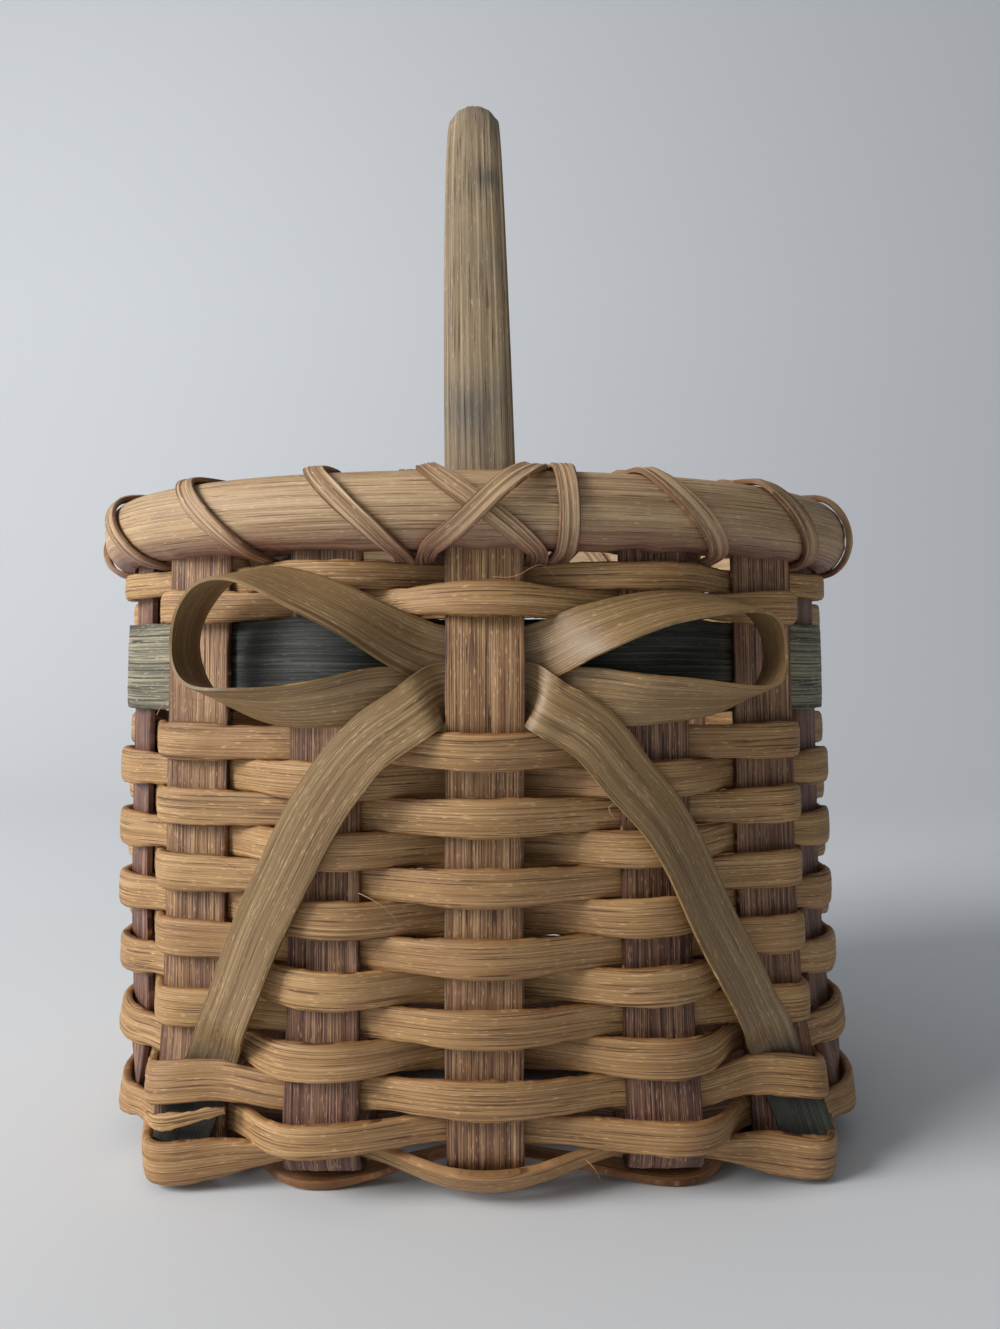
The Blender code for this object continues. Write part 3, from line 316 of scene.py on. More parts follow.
# %% Row places
FIRST_ROW_RISE, ROW_GAP, BAND_STEP = 1.7 * MM, 0.3 * MM, 2.4 * MM
TOP_ROW_WIDTH, SECOND_ROW_WIDTH, TOP_CROSSING_WIDTH = 4.6 * MM, 5.6 * MM, 4.4 * MM
RIM_ROOM = CLEARANCE + 0.9 * MM + 0.5 * MM


def row_places():
    """How far up the stakes each row's middle lies, counted from where the stakes leave the base."""
    places, place = {}, FIRST_ROW_RISE
    for row in range(ROW_COUNT, BAND_ROW, -1):
        places[row] = place
        place += CROSSING_WIDTH + ROW_GAP
    place += BAND_STEP + BAND_WIDTH / 2 - CROSSING_WIDTH / 2 - ROW_GAP
    places[BAND_ROW] = place
    place += BAND_WIDTH / 2 + ROW_GAP + TOP_CROSSING_WIDTH / 2
    for row in (2, 1):
        places[row] = place
        place += TOP_CROSSING_WIDTH + ROW_GAP
    return places


ROW_PLACES = row_places()
RIM_PLACE = ROW_PLACES[1] + TOP_ROW_WIDTH / 2 + RIM_ROOM
BUILT_RIM_BOTTOM = BASE_MIDDLE + TURN_RADIUS + RIM_PLACE - TURN_LENGTH
RIM_TOP = BUILT_RIM_BOTTOM + RIM_HEIGHT
FLOOR_SHIFT = RIM_BOTTOM - BUILT_RIM_BOTTOM
print("rows rise", round(ROW_PLACES[1] / MM, 1), "mm up the stakes; floor shift", round(FLOOR_SHIFT / MM, 2), "mm")

# %% The body's surface


def smooth_step(value):
    value = min(max(value, 0.0), 1.0)
    return value * value * (3 - 2 * value)


def body_share(height):
    return min(max((height - BASE_MIDDLE) / (RIM_TOP - BASE_MIDDLE), 0.0), 1.0)


def half_width(height):
    return HALF_WIDTH_BASE + (HALF_WIDTH_RIM - HALF_WIDTH_BASE) * body_share(height)


def squareness(height):
    share = smooth_step((height - BASE_MIDDLE) / CORNER_ROUNDING_HEIGHT)
    return SQUARENESS_BASE + (SQUARENESS_RIM - SQUARENESS_BASE) * share


def turn_state(place):
    """Height, inset and tilt of the wall at a place along a stake."""
    if place >= TURN_LENGTH:
        return BASE_MIDDLE + TURN_RADIUS + place - TURN_LENGTH, 0.0, math.pi / 2
    tilt = place / TURN_RADIUS
    return BASE_MIDDLE + TURN_RADIUS * (1 - math.cos(tilt)), TURN_RADIUS * (1 - math.sin(tilt)), tilt


def across_plan(along, half_along, half_other, power):
    """The other coordinate of the plan's superellipse."""
    return half_other * (1 - min(abs(along) / half_along, 1.0) ** power) ** (1 / power)


def plan_normal(x, y, half_x, half_y, power):
    across = math.copysign((abs(x) / half_x) ** (power - 1) / half_x, x)
    along = math.copysign((abs(y) / half_y) ** (power - 1) / half_y, y)
    return Vector((across, along, 0.0)).normalized()


print("half width at the rim", round(half_width(RIM_TOP) / MM, 1), "mm")

# %% [markdown]
# Sixteen stake ends stand in the wall: five in front, three at each side and five behind. The
# centre front stake stands proud where the bow passes behind it. Each stake keeps its own
# frame of directions: across, outward and up.

# %% Stakes in the wall
BOW_HEIGHT, BOW_PILLOW, BOW_PILLOW_HALF_LENGTH, BOW_PILLOW_BELOW = 86.8 * MM, 3.9 * MM, 20 * MM, 1.5 * MM
LIFT_FADE_SHARE = 1 / 3
FRONT_ENDS = [("front", index, -1) for index in range(len(FRONT_STAKE_SHARES))]
RIGHT_ENDS = [("side", index, 1) for index in range(len(SIDE_STAKE_SHARES))]
BACK_ENDS = [("front", index, 1) for index in reversed(range(len(FRONT_STAKE_SHARES)))]
LEFT_ENDS = [("side", index, -1) for index in reversed(range(len(SIDE_STAKE_SHARES)))]
STAKES = FRONT_ENDS + RIGHT_ENDS + BACK_ENDS + LEFT_ENDS
BOW_STAKE = ("front", HOOP_STAKE, -1)


def pillow(height):
    away = abs(height - (BOW_HEIGHT - BOW_PILLOW_BELOW)) / BOW_PILLOW_HALF_LENGTH
    return BOW_PILLOW * math.cos(min(away, 1.0) * math.pi / 2) ** 2


def base_lift(kind, front_index, side_index):
    """Which of two crossing base strips lies on top, as a height from the base's middle."""
    sign = 1 if (front_index + side_index) % 2 else -1
    return LAYER * (sign if kind == "front" else -sign)


def stake_surface(stake, place):
    kind, index, end = stake
    height, inset, tilt = turn_state(place)
    half_x, half_y, power = half_width(height) - inset, HALF_DEPTH - inset, squareness(height)
    if kind == "front":
        x = FRONT_STAKE_SHARES[index] * half_width(height)
        y = end * across_plan(x, half_x, half_y, power)
    else:
        y = SIDE_STAKE_SHARES[index] * HALF_DEPTH
        x = end * across_plan(y, half_y, half_x, power)
    straight = Vector((0, end, 0)) if kind == "front" else Vector((end, 0, 0))
    twisted = smooth_step(place / (TURN_LENGTH + (TWIST_LENGTH if kind == "front" else SIDE_TWIST_LENGTH)))
    if kind == "front" and index in (0, len(FRONT_STAKE_SHARES) - 1):
        twisted *= OUTER_TWIST_SHARE
    facing = straight.lerp(plan_normal(x, y, half_x, half_y, power), twisted).normalized()
    normal = facing * math.sin(tilt) - Vector((0, 0, math.cos(tilt)))
    return Vector((x, y, height)), normal.normalized()


def stake_shift(stake, place, pillowed):
    kind, index, end = stake
    shift = pillow(turn_state(place)[0]) if pillowed and stake == BOW_STAKE else 0.0
    last = 0 if end < 0 else len(SIDE_STAKE_SHARES if kind == "front" else FRONT_STAKE_SHARES) - 1
    lift = base_lift(kind, index, last) if kind == "front" else base_lift(kind, last, index)
    return shift - lift * max(0.0, 1 - place / (TURN_LENGTH * LIFT_FADE_SHARE))


def stake_frame(stake, place, pillowed=True):
    """Middle of the stake, with its across, outward and upward directions."""
    step, near = TURN_LENGTH / 200, []
    for at in (place - step, place, place + step):
        point, normal = stake_surface(stake, at)
        near.append((point + normal * stake_shift(stake, at, pillowed), normal))
    up = (near[2][0] - near[0][0]).normalized()
    across = up.cross(near[1][1]).normalized()
    return near[1][0], across, across.cross(up).normalized(), up


def settled(point):
    """Sets a point of the even body where the used basket has it.

    Its base droops at the corners and sags at the front, and its sides sink, draw in and lean right.
    """
    corner = (point.x * point.y / (HALF_WIDTH_BASE * HALF_DEPTH * CORNER_REACH_SHARE)) ** 2
    corner = 2 * corner / (1 + corner)
    rise, out = point.z - BASE_MIDDLE, abs(point.x) / HALF_WIDTH_BASE
    above = min(max(rise, 0.0) / CORNER_DROP_HEIGHT, 1.0)
    fall = CORNER_DROP * (0.5 + 0.5 * math.cos(math.pi * above)) * corner
    front = (point.y / HALF_DEPTH) ** 2 * max(0.0, 1 - corner)
    fall += FRONT_SAG * front * smooth_step(1 - rise / FRONT_SAG_HEIGHT)
    turned = smooth_step(point.z / (2 * BASE_MIDDLE) - 0.3)
    fall += SIDE_DROP * out ** 6 * turned * smooth_step(1 - point.z / SIDE_DROP_HEIGHT)
    lean = SIDE_LEAN * out ** (2 if point.x > 0 else 4) * smooth_step(1 - point.z / SIDE_LEAN_HEIGHT)
    lean += FOOT_LEAN * max(point.x / HALF_WIDTH_BASE, 0.0) ** 2 * smooth_step(1 - rise / FOOT_LEAN_HEIGHT)
    pinch = SIDE_PINCH * out ** 6 * smooth_step(1 - point.z / SIDE_PINCH_HEIGHT) * (1.9 if point.x > 0 else 1.0)
    return point + Vector((lean - math.copysign(pinch, point.x), 0, FLOOR_SHIFT - fall))


print(len(STAKES), "stake ends round the wall")

# %% [markdown]
# A damp reed bends like a thin spring: between the places that hold it, it takes the smoothest
# curve there is. That is a cubic spline through those places, so a few points at the stakes
# are enough for each row, and the lens-shaped swell of the weaving comes by itself.

# %% A springy curve


def bent(table, closed, step):
    """A spline through the rows of a table, sampled at even steps. Its first three columns are the place."""
    rows = np.array(table, float)
    if closed:
        rows = np.vstack([rows, rows[:1]])
    gaps = np.linalg.norm(np.diff(rows[:, :3], axis=0), axis=1)
    at = np.concatenate([[0.0], np.cumsum(gaps)])
    count = len(gaps)
    slopes = np.diff(rows, axis=0) / gaps[:, None]
    size = count if closed else count + 1
    matrix, right = np.zeros((size, size)), np.zeros((size, rows.shape[1]))
    for k in range(size):
        if not closed and k in (0, count):
            matrix[k, k] = 1.0
            continue
        before, after = gaps[k - 1], gaps[k % count]
        matrix[k, k - 1] += before
        matrix[k, k] += 2 * (before + after)
        matrix[k, (k + 1) % size] += after
        right[k] = 6 * (slopes[k % count] - slopes[k - 1])
    bends = np.linalg.solve(matrix, right)
    if closed:
        bends = np.vstack([bends, bends[:1]])
    where = np.linspace(0.0, at[-1], max(int(at[-1] / step), 4) + 1)
    k = np.clip(np.searchsorted(at, where, "right") - 1, 0, count - 1)
    t, gap = (where - at[k])[:, None], gaps[k][:, None]
    first, last = bends[k], bends[k + 1]
    slope = slopes[k] - gap * (2 * first + last) / 6
    return where, rows[k] + t * slope + t ** 2 * first / 2 + t ** 3 * (last - first) / (6 * gap)


print("spline ready")

# %% [markdown]
# One function lays every strip. It takes the bent centre line with the strip's half width as a
# vector, and wraps a section round it. Along each fibre it wanders a little in and out, so the
# grooves are real relief that catches the light, and the edges are frayed by tenths of a
# millimetre. It notes each point's place along and across in millimetres for the finishes.

# %% Strip maker
RELIEF_LENGTH, FRAY_LENGTH = 16.0, 3.2


def unit(vectors):
    return vectors / np.maximum(np.linalg.norm(vectors, axis=-1, keepdims=True), 1e-12)


def wander(draw, along_mm, columns, length_mm):
    """Smooth random values from -1 to 1 down each column, that change over about length_mm."""
    knots = int(along_mm[-1] / length_mm) + 3
    values = draw.uniform(-1, 1, (knots, columns))
    at = along_mm / length_mm
    low = at.astype(int)
    t = (at - low)[:, None]
    t = t * t * (3 - 2 * t)
    return values[low] * (1 - t) + values[low + 1] * t


def oval_section(count, outer, inner, edge):
    """Section of a flat reed: shares of the half width, and heights of its two faces."""
    u = np.linspace(-1, 1, count)
    u = 0.55 * u + 0.45 * np.sin(u * math.pi / 2)
    swell = np.sqrt(np.clip(1 - np.abs(u) ** 4, 0, 1))
    top = edge + (outer - edge) * swell
    under = -edge - (inner - edge) * swell
    return np.concatenate([u, u[::-1]]), np.concatenate([top, under[::-1]])


def lay_strip(name, where, values, section, finish, nodes, seed, relief=0.06, fray=0.10,
              wear=None, trim=0.0):
    """Makes one strip from bent() values: place and half width vector, six columns."""
    keep = slice(1, -1) if trim else slice(None)
    along = where[keep] / MM
    centre, half = values[keep, :3], values[keep, 3:6]
    forward = unit(np.gradient(values[:, :3], axis=0))[keep]
    half_length = np.linalg.norm(half, axis=1, keepdims=True)
    side = unit(half - forward * (half * forward).sum(1, keepdims=True))
    out = np.cross(forward, side)
    u, height = section
    draw = np.random.default_rng(seed)
    ragged = wander(draw, along, 2, FRAY_LENGTH) * fray * MM
    ragged += wander(draw, along, 2, FRAY_LENGTH / 4) * fray * MM / 2
    reach = u * half_length + np.where(u < 0, ragged[:, :1], ragged[:, 1:]) * np.abs(u) ** 4
    grooves = wander(draw, along, len(u), RELIEF_LENGTH) * relief * MM
    grooves += draw.uniform(-1, 1, len(u)) * relief * MM * 0.3
    lift = height + grooves * np.sign(height)
    points = centre[:, None] + side[:, None] * reach[..., None] + out[:, None] * lift[..., None]
    points[..., 2] = np.maximum(points[..., 2], 0.0)
    notes = np.zeros(points.shape)
    notes[..., 0], notes[..., 1], notes[..., 2] = along[:, None], reach / MM, seed * 7.3
    marks = np.zeros(points.shape)
    marks[..., 0] = np.abs(u)
    marks[..., 1] = 0.0 if wear is None else wear(points)
    return make_piece(name, points, notes, marks, finish, nodes)


def make_piece(name, points, notes, marks, finish, nodes, closed_ends=True):
    """A closed mesh from rings of points, with the finish's notes, in place of its nodes."""
    count, around = points.shape[:2]
    index = np.arange(count * around).reshape(count, around)
    here, there = index[:-1], index[1:]
    quads = np.stack([here, there, np.roll(there, -1, 1), np.roll(here, -1, 1)], -1).reshape(-1, 4)
    mesh = bpy.data.meshes.new(name)
    ends = [index[0].tolist(), index[-1, ::-1].tolist()] if closed_ends else []
    mesh.from_pydata(points.reshape(-1, 3).tolist(), [], quads.tolist() + ends)
    for title, values in (("strip_mm", notes), ("strip_wear_and_shade", marks)):
        layer = mesh.attributes.new(title, "FLOAT_VECTOR", "POINT")
        layer.data.foreach_set("vector", values.astype(np.float32).ravel())
    mesh.shade_smooth()
    mesh.set_sharp_from_angle(angle=math.radians(60))
    mesh.materials.append(finish)
    piece = bpy.data.objects.new(name, mesh)
    bpy.context.scene.collection.objects.link(piece)
    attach(piece, "root")
    if nodes:
        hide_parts(*nodes)
    return piece


print("strip maker ready")

# %% [markdown]
# The stakes. Eight strips cross on the base, over one and under the next, then turn up as the
# sixteen uprights. Each is one strip from rim to rim, laid through stations up one wall,
# across the base and up the other.

# %% Stake strips
STATION_STEP = 4.0 * MM
STAKE_TOP = RIM_PLACE + RIM_HEIGHT - 1.8 * MM
SPLIT_X, SPLIT_HALF_WIDTH, SPLIT_DEPTH = 3.5 * MM, 0.30 * MM, 0.5 * MM
SPLIT_LOW, SPLIT_HIGH = 78 * MM, 112 * MM
stake_section = oval_section(30, 0.70 * MM, 0.70 * MM, 0.42 * MM)


def row_of(point, half):
    return [*settled(point), *half]


def wall_rows(stake, sign):
    """Table rows up one wall, from the turn to the rim."""
    places = np.linspace(TURN_LENGTH * 0.2, STAKE_TOP, int(STAKE_TOP / STATION_STEP))
    rows = []
    for place in places:
        centre, across, _, _ = stake_frame(stake, place)
        rows.append(row_of(centre, across * (sign * STAKE_WIDTH / 2)))
    return rows


def base_rows(kind, index):
    """Table rows across the base, lifted over and under the strips that cross it."""
    front = kind == "front"
    shares, half = (SIDE_STAKE_SHARES, HALF_DEPTH) if front else (FRONT_STAKE_SHARES, HALF_WIDTH_BASE)
    rows = []
    for number, share in enumerate(shares):
        lift = base_lift(kind, index, number) if front else base_lift(kind, number, index)
        for side in (-0.5, 0.5):
            along, height = share * half + side * STAKE_WIDTH, BASE_MIDDLE + lift
            if front:
                point = Vector((FRONT_STAKE_SHARES[index] * HALF_WIDTH_BASE, along, height))
                rows.append(row_of(point, Vector((STAKE_WIDTH / 2, 0, 0))))
            else:
                point = Vector((along, SIDE_STAKE_SHARES[index] * HALF_DEPTH, height))
                rows.append(row_of(point, Vector((0, -STAKE_WIDTH / 2, 0))))
    return rows


STAKE_REDNESS = {("front", 0): 0.15, ("front", 1): 0.45, ("front", 2): 0.0, ("front", 3): 0.5, ("front", 4): 0.45}


def stake_redness_and_shade(stake):
    """Stakes are redder and darker towards the bottom. Some were redder from the start. The side stakes get the darkest
    colours: partly redder reed, partly painted shade.
    """
    # Side stakes default to 0.95: partly their own redness, partly painted shade at the basket's flanks.
    start = STAKE_REDNESS.get(stake, 0.95)

    def wear(points):
        return np.clip(start + 0.45 - points[..., 2] / (120 * MM), start, 1.0)

    return wear


stake_jobs = [("front", index, f"stake_front_back_{index + 1}") for index in range(len(FRONT_STAKE_SHARES))]
stake_jobs += [("side", index, f"stake_side_side_{index + 1}") for index in range(len(SIDE_STAKE_SHARES))]
for number, (kind, index, cad_name) in enumerate(stake_jobs):
    table = wall_rows((kind, index, -1), 1)[::-1] + base_rows(kind, index) + wall_rows((kind, index, 1), -1)
    where, values = bent(table, False, 1.0 * MM)
    strip = lay_strip("split_" + cad_name, where, values, stake_section, stake_reed, [cad_name],
                      seed=20 + number, relief=0.07, fray=0.08, wear=stake_redness_and_shade((kind, index)))
    if (kind, index) == ("front", HOOP_STAKE):
        for vertex in strip.data.vertices:
            beside = abs(vertex.co.x - SPLIT_X) / SPLIT_HALF_WIDTH
            if beside < 1 and vertex.co.y < 0 and SPLIT_LOW < vertex.co.z < SPLIT_HIGH:
                vertex.co.y += SPLIT_DEPTH * (1 - beside ** 2)
print(len(stake_jobs), "stake strips,", round(where[-1] / MM), "mm of reed in the last")

# %% [markdown]
# The rows. Each weaver passes outside one stake and inside the next. Where rows cross between
# two stakes they squeeze each other narrower. Its ends meet behind a stake at the back or the
# left, as a weaver's do. The lowest rows lie on the turn of the stakes, and one low row holds
# the ends of the bow's tails.

# %% Row stations
HOOP_THICKNESS, HOOP_CORNER_RADIUS, HOOP_PASS_ROOM = 3.5 * MM, 18 * MM, 0.4 * MM
HOOP_PASS_SPREAD = 1.3
HOOP_SEAT = STAKE_THICKNESS / 2 + CLEARANCE + HOOP_THICKNESS / 2
HOOP_BASE = BASE_MIDDLE + LAYER + STAKE_THICKNESS / 2 + CLEARANCE + HOOP_THICKNESS / 2
TUCK_ROW = ROW_COUNT - 3
TAIL_ROOM, UPRIGHT_FALL = RIBBON_THICKNESS + 0.6 * MM, 5.7 * MM


def row_thickness(row):
    return BAND_THICKNESS if row == BAND_ROW else WEAVER_THICKNESS


def row_widths(row):
    """Width over a stake, and width where the row crosses its neighbours."""
    if row == BAND_ROW:
        return BAND_WIDTH, BAND_WIDTH
    if row <= 2:
        return (TOP_ROW_WIDTH if row == 1 else SECOND_ROW_WIDTH), TOP_CROSSING_WIDTH
    if ROW_PLACES[row] - WEAVER_WIDTH / 2 < TURN_LENGTH:
        return CROSSING_WIDTH, CROSSING_WIDTH - 0.6 * MM
    return WEAVER_WIDTH, CROSSING_WIDTH + ROW_GAP * 0.8


def hoop_reach(height, side):
    """How far inside the stake the hoop's outer (-1) or inner (1) face lies."""
    radius = HOOP_CORNER_RADIUS - side * HOOP_THICKNESS / 2
    below = min(max(HOOP_BASE + HOOP_CORNER_RADIUS - height, 0.0), radius)
    return HOOP_SEAT + HOOP_CORNER_RADIUS - math.sqrt(radius ** 2 - below ** 2)


def holds_tail(row, stake):
    """Two low rows pass over the bow's tails, at the outer front stakes."""
    outer_front = stake[0] == "front" and stake[2] < 0 and stake[1] in (0, len(FRONT_STAKE_SHARES) - 1)
    return outer_front and row in (TUCK_ROW, TUCK_ROW + 2)


def row_offset(row, stake, outside):
    """Distance of the row's middle outside the stake's middle."""
    half, wide, place = row_thickness(row) / 2, row_widths(row)[0], ROW_PLACES[row]
    height = turn_state(place)[0]
    seat = STAKE_THICKNESS / 2 + CLEARANCE
    if outside:
        return seat + half + (TAIL_ROOM if holds_tail(row, stake) else 0.0)
    room = hoop_reach(height + wide / 2, -1) - seat - 2 * half
    if stake[:2] == ("front", HOOP_STAKE) and room < HOOP_PASS_ROOM:
        return -hoop_reach(height - wide / 2, 1) - CLEARANCE - half
    if place - WEAVER_WIDTH / 2 < TURN_LENGTH:
        seat = TURN_RADIUS - math.sqrt((TURN_RADIUS - seat) ** 2 - (wide / 2) ** 2) + CLEARANCE / 2
    if place < TURN_LENGTH / 3:
        seat += LAYER / 2
    return -seat - half


def row_table(row):
    """Rows of the table for bent(): two spots at each stake, and one in each gap.

    The lowest row that holds the tails stands upright there, clear of the turn of its stake.
    """
    wide, narrow = row_widths(row)
    place, count = ROW_PLACES[row], len(STAKES)
    start = (9, 11, 13)[row // 2 % 3] if row % 2 == 0 else (8, 12)[row // 2 % 2]
    spots = []
    for number in range(start, start + count):
        stake = STAKES[number % count]
        outside = (number % count + row) % 2 == 0
        centre, across, outward, up = stake_frame(stake, place, outside)
        low, high = [stake_frame(stake, place + side * wide / 2, outside) for side in (-1, 1)]
        offset = row_offset(row, stake, outside)
        upright = holds_tail(row, stake) and row > TUCK_ROW
        if upright:
            centre, across, outward, up = stake_frame(stake, TURN_LENGTH, outside)
            centre -= up * UPRIGHT_FALL
        for side in (-1, 1):
            along = side * STAKE_WIDTH * 0.42
            rise = up + outward * 0.30 if upright else up
            if place > wide / 2 and not upright:
                rise = high[0] - low[0] + (high[1] - low[1]) * along + (high[2] - low[2]) * offset
            full = WEAVER_WIDTH * 1.08 if holds_tail(row, stake) else wide
            if not outside and stake[:2] == ("front", HOOP_STAKE) and BAND_ROW < row < TUCK_ROW:
                full *= HOOP_PASS_SPREAD
            half = rise.normalized() * (full / 2)
            spots.append((centre + across * along + outward * offset, half))
    rows = []
    for number, (point, half) in enumerate(spots):
        rows.append(row_of(point, half))
        if number % 2:
            following, next_half = spots[(number + 1) % len(spots)]
            middle = (point + following) / 2
            squeezed = narrow + 0.5 * (half.length + next_half.length - wide)
            rows.append(row_of(middle, (half + next_half).normalized() * (squeezed / 2)))
    first, last = np.array(rows[0]), np.array(rows[1])
    return [list((first + last) / 2)] + rows[1:] + rows[:1]


print("row 8 has", len(row_table(8)), "spots")

# %% Weave the rows
weaver_section = oval_section(22, 1.00 * MM, 0.80 * MM, 0.38 * MM)
band_section = oval_section(44, 0.60 * MM, 0.60 * MM, 0.40 * MM)
SHADED_HALF_WIDTH = 47 * MM


def row_wear(seed):
    """Cloudy patches of redder reed along a row, and a browner foot of the basket."""
    draw = np.random.default_rng(seed)
    tone, swing = draw.uniform(0.0, 0.22), draw.uniform(0, 2 * math.pi)
    if seed == ROW_COUNT:
        tone = 0.95

    def wear(points):
        low = np.clip(0.25 - points[..., 2] / (80 * MM), 0.0, 0.25)
        angle = np.arctan2(points[..., 1], points[..., 0])
        return np.clip(tone + low + 0.10 * np.sin(3 * angle + swing), 0.0, 1.0)

    return wear


def band_fade(points):
    """1 where the dye has bleached: everywhere but behind the bow."""
    shaded = np.clip((SHADED_HALF_WIDTH + 4 * MM - np.abs(points[..., 0])) / (8 * MM), 0.0, 1.0)
    front = points[..., 1] < 0
    return 0.95 - 0.9 * shaded * front


for row in range(1, ROW_COUNT + 1):
    where, values = bent(row_table(row), True, 0.9 * MM)
    if row == BAND_ROW:
        lay_strip("woven_green_band", where, values, band_section, band_reed, ["green_band"],
                  seed=3, relief=0.05, fray=0.12, wear=band_fade, trim=1)
    else:
        lay_strip(f"woven_reed_row_{row:02d}", where, values, weaver_section, weaver_reed,
                  [f"weaver_row_{row:02d}"], seed=100 + row, relief=0.04, fray=0.16, wear=row_wear(row), trim=1)
print(ROW_COUNT, "rows,", round(where[-1] / MM), "mm round the lowest")

# %% [markdown]
# At the left one row over the bow's tail has split, and a torn tongue of it hangs over the dyed
# end below.

# %% Torn tongue
TONGUE_MM = ((-56.2, -47.6, 11.2, 0.7), (-53.5, -50.3, 11.2, 1.5), (-48.0, -50.9, 12.2, 1.1), (-41.8, -50.7, 13.4, 0.4))
tongue_section = oval_section(14, 0.35 * MM, 0.30 * MM, 0.15 * MM)
where, values = bent([(x * MM, y * MM, z * MM, 0.0, 0.0, half * MM) for x, y, z, half in TONGUE_MM], False, 0.5 * MM)
lay_strip("woven_torn_tongue", where, values, tongue_section, weaver_reed, [], seed=140, fray=0.25)
print("torn tongue", round(where[-1] / MM), "mm long")

# %% [markdown]
# The rim. Two bands clamp the tops of the stakes: a half-round one outside and a flat oval one
# inside, which bends in round the handle's legs. Both follow the plan's superellipse, so the
# curve is measured once, by its length from the middle of the front.

# %% Rim curve
RIM_STEPS = 2880
RIM_OUTER_SEAT, RIM_OUTER_THICKNESS, RIM_INNER_THICKNESS = 1.6 * MM, 5.6 * MM, 3.0 * MM
HOOP_WIDTH, HOOP_TIP_WIDTH, HOOP_SIDE_SHIFT, HOOP_SIDE_LEAN = 11.8 * MM, 9.5 * MM, 0.8 * MM, 2.1 * MM
RIM_MIDDLE = (BUILT_RIM_BOTTOM + RIM_TOP) / 2
RIM_SHAPE = (half_width(RIM_MIDDLE), HALF_DEPTH, squareness(RIM_MIDDLE))


def rim_points():
    angle = np.linspace(0, 2 * math.pi, RIM_STEPS + 1) - math.pi / 2
    half_x, half_y, power = RIM_SHAPE
    x = np.sign(np.cos(angle)) * half_x * np.abs(np.cos(angle)) ** (2 / power)
    y = np.sign(np.sin(angle)) * half_y * np.abs(np.sin(angle)) ** (2 / power)
    points = np.stack([x, y], -1)
    lengths = np.concatenate([[0.0], np.cumsum(np.linalg.norm(np.diff(points, axis=0), axis=1))])
    return points, lengths


RIM_POINTS, RIM_LENGTHS = rim_points()
RIM_ROUND = RIM_LENGTHS[-1]


def rim_at(arc):
    """Point on the stakes' middle and outward normal, at a length along the rim."""
    arc %= RIM_ROUND
    x, y = (float(np.interp(arc, RIM_LENGTHS, RIM_POINTS[:, k])) for k in (0, 1))
    return Vector((x, y, 0)), plan_normal(x, y, *RIM_SHAPE)


def stake_arcs():
    """Length along the rim to each stake, from the centre front stake on."""
    arcs = []
    for stake in STAKES:
        target = stake_surface(stake, RIM_PLACE + RIM_HEIGHT / 2)[0]
        away = np.hypot(RIM_POINTS[:-1, 0] - target.x, RIM_POINTS[:-1, 1] - target.y)
        arcs.append(float(RIM_LENGTHS[int(np.argmin(away))]))
    arcs = arcs[HOOP_STAKE:] + arcs[:HOOP_STAKE]
    return [arc if arc >= arcs[0] else arc + RIM_ROUND for arc in arcs]


STAKE_ARCS = stake_arcs()
HOOP_ARCS = (STAKE_ARCS[0] - HOOP_SIDE_SHIFT, STAKE_ARCS[len(STAKES) // 2] + HOOP_SIDE_SHIFT)
print("rim is", round(RIM_ROUND / MM), "mm round")

# %% Rim bands
INNER_SEAT = STAKE_THICKNESS / 2 + 2 * CLEARANCE
LEG_BEND_START, LEG_BEND = HOOP_WIDTH / 2 + 2 * CLEARANCE, RIM_INNER_THICKNESS * 3.5
RIM_STEP = 1.0 * MM


def inner_seat(arc):
    """Where the inner band's outer face lies: it bends in round the hoop's legs."""
    away = min(abs((arc - leg + RIM_ROUND / 2) % RIM_ROUND - RIM_ROUND / 2) for leg in HOOP_ARCS)
    over = HOOP_SEAT + HOOP_THICKNESS / 2 + CLEARANCE - INNER_SEAT
    return INNER_SEAT + over * smooth_step(1 - (away - LEG_BEND_START) / LEG_BEND)


def half_round(count):
    """The outer band's section: out and rise, as shares of its thickness and height."""
    angle = np.linspace(-math.pi / 2, math.pi / 2, count)
    face = np.stack([np.cos(angle) ** 0.85, np.sin(angle) / 2], -1)
    back = np.stack([np.zeros(8), np.linspace(0.47, -0.47, 8)], -1)
    return np.concatenate([face, back])


def flat_oval(count):
    """The inner band's section, rounded at its two long edges."""
    angle = np.linspace(-math.pi / 2, math.pi / 2, count)
    face = np.stack([np.cos(angle) ** 0.35, np.sin(angle) / 2], -1)
    back = np.stack([np.zeros(8), np.linspace(0.44, -0.44, 8)], -1)
    return np.concatenate([face, back])


